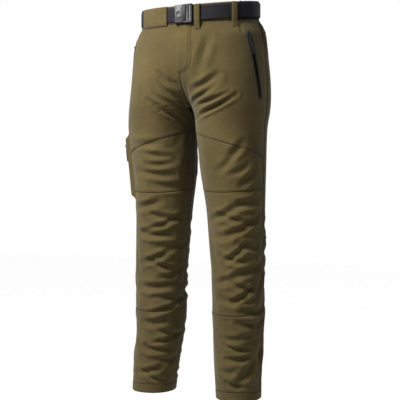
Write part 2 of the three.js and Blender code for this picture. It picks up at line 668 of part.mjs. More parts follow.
// ---------------------------------------------------------------- belt loops
// Seen end on: a foot on the waistband's top, a bar that stands off it, and a foot below the waistband.
function loopProfile(stand) {
  const t = LOOP.thickness;
  const top = BAND.height / 2 - 0.5;
  const low = bandBottom - LOOP.drop;
  const foot = 0.7;
  return [
    [top, foot], [top, foot + t], [top - 2.5, stand + t], [bandBottom + 1, stand + t], [low + 4, foot + t + 1.2],
    [low, foot + t], [low, foot], [bandBottom - 5, foot + 1.2], [bandBottom + 2.5, stand], [top - 2.2 - t, stand],
    [top - 3, foot],
  ];
}

function addLoop(name, degrees, stand = LOOP.stand) {
  const radius = waistPoint(degrees, 0).setZ(0).length();
  const half = LOOP.width / 2 / radius / RADIANS;
  add(name, waistSweep(loopProfile(stand), degrees - half, degrees + half, 2), CLOTH_OLIVE);
}

addLoop("belt_loop_left_front", 22);
addLoop("belt_loop_left_hip", 60);
addLoop("belt_loop_left_back", 132, LOOP.stand - 2.5);
addLoop("belt_loop_back_centre", 180, LOOP.stand - 2.5);
addLoop("belt_loop_right_back", 228, LOOP.stand - 2.5);

// The wide loop at the right front hides the belt between the hip and the buckle.
function tunnelProfile() {
  const t = LOOP.thickness;
  const [top, low, foot, stand] = [BAND.height / 2 - 0.3, bandBottom - 3, 0.5, 3.4];
  return [
    [top, foot], [top, foot + t], [top - 2, stand + t], [low + 3.5, stand + t], [low, foot + t + 1.2], [low, foot + 0.3],
    [low + 3, stand], [top - 3.4, stand], [top - 2.6, foot],
  ];
}
add("belt_tunnel_right_front", waistSweep(tunnelProfile(), TUNNEL.to, TUNNEL.from, 9), CLOTH_OLIVE);

// ---------------------------------------------------------------- buckle
// The buckle's own frame: x along the belt towards the wearer's left, y up, z out. Its origin is on
// the waistband's face at the buckle's middle.
const buckleFrame = (() => {
  const face = frontPoint(BUCKLE.centreX, 0, 0);
  const out = frontPoint(BUCKLE.centreX, 0, 10).sub(face).normalize();
  const up = new THREE.Vector3(0, 0, 1);
  return new THREE.Matrix4().makeBasis(up.clone().cross(out), up, out).setPosition(face);
})();
const railInner = BELT.width / 2 + BUCKLE.railClear;
const half = { width: BUCKLE.width / 2, height: railInner + BUCKLE.rail };
const PIN = { x: 5, out: 7.4, radius: 1.2, hole: 1.5, barrel: 2.7, lobe: 3.4 };
const BAR = { x: half.width - 5.6, out: 7.6, radius: 1.3, hole: 1.55 };
const ANCHOR = { x: 12.6, out: 5.6, radius: 1.0, hole: 1.25 };
const FRAME = { top: 10.2, coverLow: 8.9, railTop: 6.2 };
const LEVER = { from: -half.width + 0.5, low: 6.6, thickness: 2.1 };

// A solid that spans the belt: a side view of [x, out] corners, extruded along the buckle's height.
const across = (outline, low, high, holes = []) =>
  stripped(extrude(outline.map(([x, out]) => [x, -out]).reverse(), low, high, holes.map((h) => h.map(([x, out]) => [x, -out])))).rotateX(-Math.PI / 2);

function buckleBody() {
  const rail = [
    [-half.width, BUCKLE.floor], [half.width, BUCKLE.floor], [half.width, FRAME.top - 1.5], [half.width - 1.5, FRAME.top],
    [PIN.x - 2.9, FRAME.top], [PIN.x - 3.8, FRAME.railTop], [-half.width + 1, FRAME.railTop], [-half.width, FRAME.railTop - 1],
  ];
  const holes = [circle(PIN.x, PIN.out, PIN.hole), circle(BAR.x, BAR.out, BAR.hole), circle(ANCHOR.x, ANCHOR.out, ANCHOR.hole)];
  const railTop = across(rail, railInner, half.height, holes);
  const railBottom = across(rail, -half.height, -railInner, holes);
  const clampPlate = across(rectangle(PIN.x - 5, BUCKLE.floor - 0.5, PIN.x + 1, BUCKLE.floor + 0.25), -half.height + 1, half.height - 1);
  const cover = across(clipped(PIN.x + 3.9, FRAME.coverLow, BAR.x - 2.2, FRAME.top, 0.5), -half.height + 0.5, half.height - 0.5);
  const endBar = across(clipped(half.width - 2.9, 7.0, half.width, FRAME.top - 0.2, 0.6), -half.height + 0.5, half.height - 0.5);
  return join(railTop, railBottom, clampPlate, cover, endBar);
}

function buckleLever() {
  const reachHeight = half.height - 0.6;
  const plate = across(
    [[LEVER.from, LEVER.low], [PIN.x - 4.2, LEVER.low], [PIN.x - 4.2, LEVER.low + LEVER.thickness], [LEVER.from + 1, LEVER.low + LEVER.thickness]],
    -reachHeight,
    reachHeight,
  );
  const barrelOutline = circle(PIN.x, PIN.out, PIN.barrel, 24).map(([x, out]) => (out < PIN.out - 2 ? [x, PIN.out - PIN.lobe] : [x, out]));
  const barrelHalf = railInner - 0.4;
  const barrel = across(barrelOutline, -barrelHalf, barrelHalf, [circle(PIN.x, PIN.out, PIN.hole)]);
  const neck = across(rectangle(PIN.x - 4.6, LEVER.low + 0.1, PIN.x - 1.9, LEVER.low + LEVER.thickness - 0.1), -barrelHalf, barrelHalf);
  return join(plate, barrel, neck);
}

// A bright inlay on the lever with a plain ring raised on it.
function buckleBadge() {
  const low = LEVER.low + LEVER.thickness + 0.2;
  const middle = (LEVER.from + PIN.x - 5) / 2;
  const plate = extrude(clipped(LEVER.from + 1.6, -half.height + 2.4, PIN.x - 5.2, half.height - 2.4, 1.4), low, low + 0.8);
  const ring = extrude(circle(middle, 0, 9.2, 28), low + 0.6, low + 1.5, [circle(middle, 0, 6.6, 28).reverse()]);
  return join(plate, ring);
}

const rod = (spec, reachHeight) =>
  new THREE.CylinderGeometry(spec.radius, spec.radius, 2 * reachHeight, 16).translate(spec.x, 0, spec.out);

add("buckle_body", buckleBody(), MOULDED, buckleFrame);
add("buckle_lever", buckleLever(), MOULDED, buckleFrame);
add("buckle_badge", buckleBadge(), BADGE, buckleFrame);
add("buckle_lever_pin", rod(PIN, half.height - 0.4), STEEL, buckleFrame);
add("buckle_bright_bar", rod(BAR, half.height - 0.4), STEEL, buckleFrame);
add("buckle_anchor_pin", rod(ANCHOR, half.height - 0.4), STEEL, buckleFrame);

// ---------------------------------------------------------------- belt
// The webbing's middle line, seen from above. It is sewn round the anchor pin, runs round the left
// hip over its own tail, round the back and the right side, and back through the buckle; the tail
// ends against the waistband, under the outer turn.
const mid = BELT.thickness / 2;
const LAID = BELT.clear + mid;
const OVER_TAIL = LAID + BELT.thickness + 0.6;

function planPoint(degrees, offset) {
  const p = waistPoint(degrees, 0, offset);
  return new THREE.Vector2(p.x, p.y);
}

// A point of the buckle's frame seen from above.
function bucklePlan(x, out) {
  const p = new THREE.Vector3(x, 0, out).applyMatrix4(buckleFrame);
  return new THREE.Vector2(p.x, p.y);
}

function beltLine() {
  const line = [];
  const eye = ANCHOR.hole + mid + 0.1;
  for (let k = 0; k <= 6; k++) {
    const turn = (-60 - k * 35) * RADIANS;
    line.push(bucklePlan(ANCHOR.x + eye * Math.cos(turn), ANCHOR.out + eye * Math.sin(turn)));
  }
  line.push(bucklePlan(ANCHOR.x + 5.6, ANCHOR.out - 0.4));
  line.push(bucklePlan(half.width + 2, 4.6));
  const stepDown = BELT.tipAngle + 27;
  for (let a = 20; a <= 344; a += 4) {
    line.push(planPoint(a, lerp(LAID, OVER_TAIL, clamp((stepDown - a) / 12, 0, 1))));
  }
  line.push(bucklePlan(-half.width + 2, 2.0), bucklePlan(PIN.x - 7, 2.35), bucklePlan(PIN.x + 1, 2.35));
  line.push(bucklePlan(PIN.x + 4.5, 1.6), bucklePlan(half.width - 3, 1.6));
  for (let k = 0; k <= 13; k++) line.push(planPoint(lerp(17, BELT.tipAngle, k / 13), LAID));
  return line;
}

// A belt of even thickness standing along a plan line, leaning as the waist does.
function beltPiece(line, thickness, width) {
  const outward = line.map((p, i) => {
    const before = line[Math.max(i - 1, 0)];
    const after = line[Math.min(i + 1, line.length - 1)];
    const along = after.clone().sub(before).normalize();
    return new THREE.Vector2(along.y, -along.x);
  });
  return sheet(
    (s, t, layer) => {
      const i = Math.round(s * (line.length - 1));
      const p = line[i].clone().addScaledVector(outward[i], thickness * (0.5 - layer));
      return new THREE.Vector3(p.x, p.y, width * (0.5 - t) + WAIST.tilt * p.y);
    },
    line.length - 1,
    1,
  );
}

const webbingLine = beltLine();
add("belt_webbing", beltPiece(webbingLine, BELT.thickness, BELT.width), WEBBING);

// A moulded tip closes the tail's cut end.
const tipLine = [0.9, 0.9 + BELT.tipLength / 2, 0.9 + BELT.tipLength].map((run) => {
  const radius = planPoint(BELT.tipAngle, 0).length();
  return planPoint(BELT.tipAngle + run / radius / RADIANS, LAID);
});
add("belt_tip", beltPiece(tipLine, BELT.thickness, BELT.width), MOULDED);

// ---------------------------------------------------------------- zips in place, and the bellows pocket
addZip("left_pocket_zip", handZips[LEFT]);
addZip("right_pocket_zip", handZips[RIGHT]);
addZip("fly_zip", flyZip, PULL.flyLength);
addZip("cargo_zip", cargoZip);

const cargoCover = sheet((s, t, layer) => skin(RIGHT, cargoTurn(s), cargoHeight(t), cargoOffset(s, t) - (CLOTH - 0.2) * layer), 14, 14);
add("cargo_pocket", cut(cargoCover, ...zipRoom(cargoZip)), CLOTH_OLIVE);

export default trousers;
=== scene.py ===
"""Outdoor work trousers with a webbing belt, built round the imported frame.

The cloth is one draped surface over the wearer's form. It is wrinkled by families of folds and a cloth
simulation, cut into its panels along the seams, and dressed with seams, stitches, zips, waistband,
belt and buckle. Lengths in the sizes below are millimetres unless a name says otherwise.
"""

import json
import logging
import math
from dataclasses import dataclass, field
from enum import Enum

import bmesh
import bpy
import numpy as np
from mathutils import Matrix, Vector

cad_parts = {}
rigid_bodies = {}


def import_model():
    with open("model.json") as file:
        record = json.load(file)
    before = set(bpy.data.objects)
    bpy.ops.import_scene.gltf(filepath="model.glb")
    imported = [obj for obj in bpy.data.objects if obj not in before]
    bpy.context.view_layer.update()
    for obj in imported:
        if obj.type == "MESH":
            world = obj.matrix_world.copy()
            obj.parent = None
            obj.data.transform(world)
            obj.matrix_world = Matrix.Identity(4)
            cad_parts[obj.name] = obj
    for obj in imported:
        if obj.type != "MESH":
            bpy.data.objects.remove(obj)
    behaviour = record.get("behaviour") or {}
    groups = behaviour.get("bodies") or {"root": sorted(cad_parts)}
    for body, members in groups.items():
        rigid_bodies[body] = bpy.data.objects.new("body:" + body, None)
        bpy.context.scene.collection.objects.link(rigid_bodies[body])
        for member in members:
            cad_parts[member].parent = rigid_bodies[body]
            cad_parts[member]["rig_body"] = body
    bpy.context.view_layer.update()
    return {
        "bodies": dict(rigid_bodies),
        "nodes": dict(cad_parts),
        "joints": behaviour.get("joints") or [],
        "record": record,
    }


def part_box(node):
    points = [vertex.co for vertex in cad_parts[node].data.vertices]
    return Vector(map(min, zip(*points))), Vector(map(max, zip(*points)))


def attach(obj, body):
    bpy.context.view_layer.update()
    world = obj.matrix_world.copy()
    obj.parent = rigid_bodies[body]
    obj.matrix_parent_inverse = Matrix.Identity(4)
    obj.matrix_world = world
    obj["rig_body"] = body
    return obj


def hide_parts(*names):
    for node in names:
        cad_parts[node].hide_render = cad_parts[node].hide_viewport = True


LOG = logging.getLogger("trousers")
MM = 0.001
BODY = "trousers"
FRAME: dict = {}


class Side(Enum):
    """The wearer's side, with the sign of its X."""

    LEFT = 1
    RIGHT = -1

    @property
    def word(self) -> str:
        """The side's name as used in node names."""
        return self.name.lower()


# ---------------------------------------------------------------- the wearer's form


def smooth_step(t: np.ndarray) -> np.ndarray:
    """Eases 0..1 in and out, holding outside."""
    t = np.clip(t, 0.0, 1.0)
    return t * t * (3 - 2 * t)


@dataclass
class Form:
    """The body that the cloth lies on: an oval section for each leg at every height.

    Each station is height, half width, half depth, depth offset, and the left and right leg's
    sideways place. The two sections run together above the fork. The waist leans, higher at the
    back, from the height lean_from up.
    """

    squareness: float = 2.15
    groin_blend: float = 0.2
    tilt: float = 0.167
    lean_from: float = -150.0
    lean_over: float = 110.0
    stride: float = 3.0
    strides: int = 110
    halvings: int = 18
    stations: tuple = (
        (60, 164, 118, 0, 0, 0),
        (24, 166, 119, 0, 0, 0),
        (-24, 166, 119, 0, 0, 0),
        (-46, 172.02, 123, 0, 5, 5),
        (-64, 173.4, 127, 0, 10, 10),
        (-120, 160.36, 131, 2, 30, 30),
        (-180, 135, 130, 3, 60, 60),
        (-230, 111, 122, 0, 86, 87),
        (-265, 100, 112, -4, 97, 101),
        (-313, 94, 101, -8, 98, 108),
        (-424, 87, 90, -10, 103, 102),
        (-534, 77, 79, -12, 112, 103),
        (-645, 73, 74, -8, 115, 111),
        (-755, 69, 70, 0, 114, 118),
        (-811, 70, 71, 4, 113, 121),
        (-866, 67, 68, 8, 110, 125),
        (-940, 64, 66, 12, 108, 138),
        (-1040, 60, 63, 16, 108, 150),
    )

    def section(self, z: np.ndarray) -> np.ndarray:
        """Section values at heights.

        Args:
            z: Heights, any shape.

        Returns:
            Half width, half depth, depth offset, left place and right place, stacked first.
        """
        rows = np.array(self.stations, float)
        heights = rows[:, 0]
        z = np.asarray(z, float)
        i = np.clip(np.searchsorted(-heights, -z, side="right") - 1, 0, len(heights) - 2)
        a, b = rows[i], rows[i + 1]
        before = rows[np.maximum(i - 1, 0)]
        after = rows[np.minimum(i + 2, len(rows) - 1)]
        span = (a[..., 0] - b[..., 0])[..., None]
        t = np.clip((a[..., 0] - z) / span[..., 0], 0, 1)[..., None]
        slope_in = (b - before) / (before[..., 0] - b[..., 0])[..., None] * span
        slope_out = (after - a) / (a[..., 0] - after[..., 0])[..., None] * span
        curve = (
            (2 * t**3 - 3 * t**2 + 1) * a
            + (t**3 - 2 * t**2 + t) * slope_in
            + (3 * t**2 - 2 * t**3) * b
            + (t**3 - t**2) * slope_out
        )
        curve = np.where(a == b, a, curve)
        return np.moveaxis(curve[..., 1:], -1, 0)

    def depth(self, section: np.ndarray, x: np.ndarray, y: np.ndarray) -> np.ndarray:
        """Below 0 inside the body and above 0 outside it."""
        hw, hd, yc, left, right = section

        def one(centre: np.ndarray) -> np.ndarray:
            """The depth in one leg's section."""
            s = np.abs((x - centre) / hw) ** self.squareness
            return (s + np.abs((y - yc) / hd) ** self.squareness) ** (1 / self.squareness) - 1

        a, b = one(left), one(-right)
        blend = self.groin_blend * np.clip(left / 60, 0.001, 1)
        near = np.maximum(blend - np.abs(a - b), 0) / blend
        return np.minimum(a, b) - near * near * blend / 4

    def reach(
        self, section: np.ndarray, x: np.ndarray, y: np.ndarray, dx: np.ndarray, dy: np.ndarray
    ) -> np.ndarray:
        """How far from inside points along directions the body's surface lies."""
        far = 0.2 * section[1] + np.zeros_like(x + dx)
        going = np.ones_like(far, bool)
        for _ in range(self.strides):
            going &= self.depth(section, x + dx * far, y + dy * far) < 0
            if not going.any():
                break
            far = np.where(going, far + self.stride, far)
        near = far - self.stride
        for _ in range(self.halvings):
            middle = (near + far) / 2
            inside = self.depth(section, x + dx * middle, y + dy * middle) < 0
            near, far = np.where(inside, middle, near), np.where(inside, far, middle)
        return (near + far) / 2

    def surface(self, side: Side, u: np.ndarray, z: np.ndarray) -> np.ndarray:
        """Points on the body.

        Args:
            side: Which half of the body.
            u: Share of the way from the front middle or inseam, round the outside, to the back.
            z: Heights before the waist's lean.

        Returns:
            Points in millimetres, with a last axis of three.
        """
        u, z = np.broadcast_arrays(np.asarray(u, float), np.asarray(z, float))
        section = self.section(z)
        _, _, yc, left, right = section
        centre = left if side is Side.LEFT else right
        open_middle = self.depth(section, 0 * z, yc) >= 0
        edges = []
        for towards in (-1, 1):
            depth = yc + towards * self.reach(section, 0 * z, yc, 0 * z, 0 * z + towards)
            edges.append(np.where(open_middle, towards * np.pi, np.arctan2(depth - yc, -np.abs(centre))))
        turn = edges[0] + (edges[1] - edges[0]) * u
        dx, dy = np.cos(turn) * side.value, np.sin(turn)
        length = self.reach(section, side.value * centre, yc, dx, dy)
        x = side.value * np.maximum(centre + side.value * dx * length, 0)
        y = yc + dy * length
        return np.stack([x, y, z + self.lean(y, z)], -1)

    def lean(self, y: np.ndarray, z: np.ndarray) -> np.ndarray:
        """How much the waist's lean lifts a point."""
        return self.tilt * y * smooth_step((z - self.lean_from) / self.lean_over)

    def waist(self, degrees: np.ndarray, z: np.ndarray, offset: np.ndarray) -> np.ndarray:
        """Points round the waist, by degrees from the front middle towards the wearer's left."""
        degrees, z, offset = np.broadcast_arrays(*(np.asarray(a, float) for a in (degrees, z, offset)))
        angle = (degrees + 180) % 360 - 180

        def at(shift: float) -> np.ndarray:
            """The points, moved a little round the waist."""
            u = np.abs(angle) / 180 + shift
            flip = np.where(u < 0, -1, 1)
            over = u > 1
            sign = np.where(angle < 0, -1, 1) * flip * np.where(over, -1, 1)
            u = np.where(over, 2 - u, np.abs(u))
            p = self.surface(Side.LEFT, u, z)
            p[..., 0] *= sign
            return p

        point = at(0.0)
        along = at(0.004) - at(-0.004)
        along /= np.hypot(along[..., 0], along[..., 1])[..., None]
        turn = np.where(angle < 0, -1, 1)
        point[..., 0] += along[..., 1] * turn * offset
        point[..., 1] -= along[..., 0] * turn * offset
        return point


# ---------------------------------------------------------------- finishes


Input = bpy.types.NodeSocket | float


@dataclass
class NodeKit:
    """Short ways to put nodes into a material's tree."""

    tree: bpy.types.NodeTree

    def add(self, kind: str, values: dict | None = None, **settings) -> bpy.types.Node:
        """Adds a node.

        Args:
            kind: Node type, without the ShaderNode prefix.
            values: Input name or index to a value or an output socket to link.
            **settings: Attributes of the node.

        Returns:
            The new node.
        """
        node = self.tree.nodes.new("ShaderNode" + kind)
        for name, value in settings.items():
            setattr(node, name, value)
        for name, value in (values or {}).items():
            if isinstance(value, bpy.types.NodeSocket):
                self.tree.links.new(value, node.inputs[name])
            else:
                node.inputs[name].default_value = value
        return node

    def math(self, operation: str, a: Input, b: Input = 0.0) -> bpy.types.NodeSocket:
        """One sum of two numbers or sockets."""
        return self.add("Math", {0: a, 1: b}, operation=operation).outputs[0]

    def noise(
        self, vector: bpy.types.NodeSocket, scale: float, detail: float = 2.0, rough: float = 0.5
    ) -> bpy.types.NodeSocket:
        """A noise value over a vector."""
        values = {"Vector": vector, "Scale": scale, "Detail": detail, "Roughness": rough}
        return self.add("TexNoise", values).outputs[0]

    def ramp(self, value: Input, stops: tuple) -> bpy.types.NodeSocket:
        """A colour ramp through (place, colour) stops."""
        node = self.add("ValToRGB", {0: value})
        elements = node.color_ramp.elements
        while len(elements) < len(stops):
            elements.new(0.5)
        for element, (place, colour) in zip(elements, stops):
            element.position = place
            element.color = (*colour, 1)
        return node.outputs[0]

    def spread(self, value: Input, low: float, high: float) -> bpy.types.NodeSocket:
        """Maps 0..1 onto a range."""
        return self.add("MapRange", {"Value": value, "To Min": low, "To Max": high}).outputs[0]


def new_material(name: str) -> tuple:
    """A material with its node kit and its surface shader."""
    material = bpy.data.materials.new(name)
    material.use_nodes = True
    shader = material.node_tree.nodes["Principled BSDF"]
    return material, NodeKit(material.node_tree), shader


@dataclass(frozen=True)
class ClothFinish:
    """Dry, faintly mottled woven cloth, with a fine diagonal weave and dusty high spots."""

    name: str
    dark: tuple
    light: tuple
    roughness: float = 0.88
    sheen: float = 0.04
    weave_pitch: float = 0.9
    weave_depth: float = 0.00016

    def material(self) -> bpy.types.Material:
        """Builds the material."""
        material, kit, shader = new_material(self.name)
        place = kit.add("TexCoord").outputs["Object"]
        cloth = kit.add("UVMap", uv_map="cloth").outputs[0]
        split = kit.add("SeparateXYZ", {0: cloth}).outputs
        mottle = kit.noise(place, 620.0, 3.0, 0.65)
        long_ways = kit.add("Mapping", {"Vector": cloth, "Scale": (900, 130, 1)}).outputs[0]
        slub = kit.noise(long_ways, 1.0, 2.0, 0.6)
        cloud = kit.noise(place, 14.0, 3.0, 0.55)
        tone = kit.math("ADD", kit.math("MULTIPLY", mottle, 0.42), kit.math("MULTIPLY", slub, 0.33))
        tone = kit.math("ADD", tone, kit.math("MULTIPLY", cloud, 0.3))
        colour = kit.ramp(tone, ((0.36, self.dark), (0.68, self.light)))
        turn = 2 * math.pi / (self.weave_pitch * MM)
        warp = kit.math("SINE", kit.math("MULTIPLY", kit.math("ADD", split[0], split[1]), turn))
        weft = kit.math("MULTIPLY", kit.math("SUBTRACT", split[0], split[1]), turn * 0.5)
        weft = kit.math("SINE", weft)
        grid = kit.math("ADD", kit.math("MULTIPLY", warp, 0.5), kit.math("MULTIPLY", weft, 0.22))
        height = kit.math("ADD", grid, kit.math("MULTIPLY", kit.noise(place, 260.0, 3.0, 0.6), 1.4))
        bump = kit.add("Bump", {"Height": height, "Strength": 0.55, "Distance": self.weave_depth})
        kit.tree.links.new(colour, shader.inputs["Base Color"])
        kit.tree.links.new(bump.outputs[0], shader.inputs["Normal"])
        rough = kit.spread(kit.noise(place, 90.0), self.roughness - 0.06, self.roughness + 0.08)
        kit.tree.links.new(rough, shader.inputs["Roughness"])
        shader.inputs["Sheen Weight"].default_value = self.sheen
        shader.inputs["Sheen Roughness"].default_value = 0.5
        shader.inputs["Specular IOR Level"].default_value = 0.02
        return material


@dataclass(frozen=True)
class RibbedFinish:
    """Woven or knitted ribs that run along or across a strip, on its own UV map."""

    name: str
    dark: tuple
    light: tuple
    pitch_along: float
    pitch_across: float
    depth: float = 0.0003
    roughness: float = 0.7

    def material(self) -> bpy.types.Material:
        """Builds the material."""
        material, kit, shader = new_material(self.name)
        place = kit.add("TexCoord").outputs["Object"]
        split = kit.add("SeparateXYZ", {0: kit.add("UVMap", uv_map="cloth").outputs[0]}).outputs
        along = kit.math("SINE", kit.math("MULTIPLY", split[0], 2 * math.pi / (self.pitch_along * MM)))
        across = kit.math("SINE", kit.math("MULTIPLY", split[1], 2 * math.pi / (self.pitch_across * MM)))
        weave = kit.math("MULTIPLY", along, across)
        weave = kit.math("ADD", kit.math("MULTIPLY", weave, 0.6), kit.math("MULTIPLY", across, 0.4))
        fuzz = kit.noise(place, 700.0, 2.0, 0.6)
        tone = kit.math("ADD", kit.math("MULTIPLY", weave, 0.18), fuzz)
        colour = kit.ramp(tone, ((0.3, self.dark), (0.75, self.light)))
        height = kit.math("ADD", weave, fuzz)
        bump = kit.add("Bump", {"Height": height, "Strength": 0.7, "Distance": self.depth})
        kit.tree.links.new(colour, shader.inputs["Base Color"])
        kit.tree.links.new(bump.outputs[0], shader.inputs["Normal"])
        rough = kit.spread(fuzz, self.roughness - 0.08, self.roughness + 0.1)
        kit.tree.links.new(rough, shader.inputs["Roughness"])
        shader.inputs["Sheen Weight"].default_value = 0.0
        shader.inputs["Specular IOR Level"].default_value = 0.05
        return material


@dataclass(frozen=True)
class HardFinish:
    """Moulded plastic, rubber or metal with a fine grain and faint handling marks."""

    name: str
    dark: tuple
    light: tuple
    roughness: float
    metal: float = 0.0
    grain: float = 900.0
    depth: float = 0.00006
    specular: float = 0.12

    def material(self) -> bpy.types.Material:
        """Builds the material."""
        material, kit, shader = new_material(self.name)
        place = kit.add("TexCoord").outputs["Object"]
        grain = kit.noise(place, self.grain, 3.0, 0.6)
        marks = kit.noise(place, 120.0, 4.0, 0.7)
        tone = kit.math("ADD", kit.math("MULTIPLY", grain, 0.5), kit.math("MULTIPLY", marks, 0.5))
        colour = kit.ramp(tone, ((0.35, self.dark), (0.7, self.light)))
        bump = kit.add("Bump", {"Height": grain, "Strength": 0.5, "Distance": self.depth})
        kit.tree.links.new(colour, shader.inputs["Base Color"])
        kit.tree.links.new(bump.outputs[0], shader.inputs["Normal"])
        rough = kit.spread(marks, self.roughness - 0.1, self.roughness + 0.12)
        kit.tree.links.new(rough, shader.inputs["Roughness"])
        shader.inputs["Metallic"].default_value = self.metal
        shader.inputs["Specular IOR Level"].default_value = self.specular
        return material


@dataclass
class Wardrobe:
    """Every finish of the trousers, made once."""

    shell: bpy.types.Material = None
    lining: bpy.types.Material = None
    thread: bpy.types.Material = None
    elastic: bpy.types.Material = None
    webbing: bpy.types.Material = None
    zip_tape: bpy.types.Material = None
    moulded: bpy.types.Material = None
    rubber: bpy.types.Material = None
    steel: bpy.types.Material = None
    badge: bpy.types.Material = None
    snap: bpy.types.Material = None

    def __post_init__(self) -> None:
        """Builds the materials."""
        self.shell = ClothFinish(
            "shell_cloth", (0.0185, 0.0138, 0.0050), (0.038, 0.0284, 0.0104)
        ).material()
        self.lining = ClothFinish(
            "lining_cloth", (0.025, 0.022, 0.014), (0.045, 0.04, 0.025),
            roughness=0.8, sheen=0.1, weave_pitch=0.6,
        ).material()
        # The elastic's near-black colour, darker than the black webbing, is partly its own black and
        # partly painted shade: it stands in for the deep shade on the gathered waist at the sides.
        self.elastic = RibbedFinish(
            "gathered_elastic", (0.0008, 0.0008, 0.0008), (0.0026, 0.0026, 0.0026),
            pitch_along=1.6, pitch_across=5.0,
        ).material()
        self.webbing = RibbedFinish(
            "belt_webbing", (0.0022, 0.0022, 0.0028), (0.0062, 0.006, 0.0078),
            pitch_along=2.4, pitch_across=1.5,
        ).material()
        for field_name, name, dark, light, roughness, more in (
            ("thread", "sewing_thread", (0.014, 0.011, 0.005), (0.03, 0.024, 0.011), 0.75, {}),
            ("zip_tape", "zip_tape", (0.0015,) * 3, (0.004,) * 3, 0.75, {"grain": 1400.0}),
            ("moulded", "moulded_plastic", (0.0025, 0.0025, 0.0028), (0.005, 0.005, 0.0056), 0.48, {}),
            ("rubber", "pull_rubber", (0.002,) * 3, (0.0045,) * 3, 0.6, {}),
            ("steel", "bright_steel", (0.16, 0.165, 0.17), (0.24, 0.245, 0.25), 0.28, {"metal": 1.0}),
            ("badge", "satin_inlay", (0.012, 0.012, 0.0125), (0.022, 0.022, 0.0235), 0.5, {}),
            ("snap", "dark_nickel", (0.08, 0.075, 0.07), (0.13, 0.125, 0.12), 0.35, {"metal": 0.9}),
        ):
            setattr(self, field_name, HardFinish(name, dark, light, roughness, **more).material())


# ---------------------------------------------------------------- making pieces


@dataclass
class Workshop:
    """Turns point grids into finished pieces that ride on the garment."""

    wardrobe: Wardrobe

    def link(
        self, name: str, mesh: bpy.types.Mesh, material: bpy.types.Material, slot: str, body: str = BODY
    ) -> bpy.types.Object:
        """Makes an object of a mesh, gives it its finish and sets it on a body."""
        piece = bpy.data.objects.new(name, mesh)
        bpy.context.scene.collection.objects.link(piece)
        mesh.materials.clear()
        mesh.materials.append(material)
        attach(piece, body)
        LOG.info("%s: %d faces on %s", name, len(mesh.polygons), body)
        return piece

    def shell(
        self, name: str, outer: np.ndarray, inner: np.ndarray, uv: np.ndarray,
        keep: np.ndarray | None = None, closed: bool = False,
    ) -> bpy.types.Mesh:
        """A closed cloth shell from two grids of points.

        Args:
            name: The mesh's name.
            outer: Outside points in millimetres, rows by columns by three.
            inner: Inside points, same shape.
            uv: Flat place of each point in metres, rows by columns by two.
            keep: Which cells exist, rows-1 by columns-1, or None for all.
            closed: True where the last column meets the first.

        Returns:
            A mesh in metres, with the UV map "cloth".
        """
        rows, cols = outer.shape[:2]
        index = np.arange(rows * cols).reshape(rows, cols)
        right = np.roll(index, -1, 1) if closed else index[:, 1:]
        left = index if closed else index[:, :-1]
        a, b, c, d = left[:-1], right[:-1], right[1:], left[1:]
        if keep is None:
            keep = np.ones(a.shape, bool)
        quads = np.stack([a, b, c, d], -1)[keep]
        count = rows * cols
        faces = [quads, quads[:, ::-1] + count]
        edges = dict.fromkeys((q[k], q[(k + 1) % 4]) for q in quads.tolist() for k in range(4))
        walls = [(j, i, i + count, j + count) for i, j in edges if (j, i) not in edges]
        faces = np.concatenate([*faces, np.array(walls)])
        points = np.concatenate([outer.reshape(-1, 3), inner.reshape(-1, 3)]) * MM
        flat = np.concatenate([uv.reshape(-1, 2)] * 2)
        used, remap = np.unique(faces, return_inverse=True)
        faces = remap.reshape(faces.shape)
        mesh = bpy.data.meshes.new(name)
        mesh.from_pydata(points[used].tolist(), [], faces.tolist())
        layer = mesh.uv_layers.new(name="cloth")
        loops = np.zeros(len(mesh.loops), np.int32)
        mesh.loops.foreach_get("vertex_index", loops)
        layer.data.foreach_set("uv", flat[used][loops].astype(np.float32).ravel())
        mesh.shade_smooth()
        self.face_out(mesh)
        return mesh

    def face_out(self, mesh: bpy.types.Mesh) -> None:
        """Turns a closed mesh right side out if its volume is negative."""
        work = bmesh.new()
        work.from_mesh(mesh)
        if work.calc_volume(signed=True) < 0:
            bmesh.ops.reverse_faces(work, faces=work.faces)
            work.to_mesh(mesh)
        work.free()

    def rounded_copy(self, node: str, width: float, segments: int = 2) -> bpy.types.Mesh:
        """A node's shape with its doubles merged and its sharp edges rounded.

        Args:
            node: The node's name.
            width: How far the rounding reaches, in millimetres.
            segments: How many faces it has.

        Returns:
            The new mesh.
        """
        work = bmesh.new()
        work.from_mesh(FRAME["nodes"][node].data)
        bmesh.ops.remove_doubles(work, verts=work.verts, dist=2e-6)
        bmesh.ops.dissolve_limit(work, angle_limit=math.radians(2), verts=work.verts, edges=work.edges)
        least = math.radians(28)
        sharp = [e for e in work.edges if len(e.link_faces) == 2 and e.calc_face_angle(0) > least]
        bmesh.ops.bevel(work, geom=sharp, offset=width * MM, segments=segments, profile=0.5,
                        affect="EDGES", clamp_overlap=True)
        mesh = bpy.data.meshes.new(node + "_rounded")
        work.to_mesh(mesh)
        work.free()
        mesh.shade_smooth()
        mesh.set_sharp_from_angle(angle=math.radians(40))
        return mesh


# ---------------------------------------------------------------- the draped cloth


@dataclass(frozen=True)
class Fold:
    """One fold pressed into the cloth: a valley with a ridge along each side of it.

    Attributes:
        side: Which half of the garment.
        line: Points along it, as degrees round the half and height.
        width: Half width of the valley.
        depth: Its depth, or its height where negative.
    """

    side: Side
    line: tuple
    width: float
    depth: float


@dataclass(frozen=True)
class Still:
    """A strip of cloth that lies flat because something is fitted into it.

    Attributes:
        side: Which half, or None for both.
        top: Degrees round the half and height of its upper end.
        bottom: The same of its lower end.
        half: Half its width.
        fade: Distance over which the cloth becomes free.
    """

    side: Side | None
    top: tuple
    bottom: tuple
    half: float
    fade: float


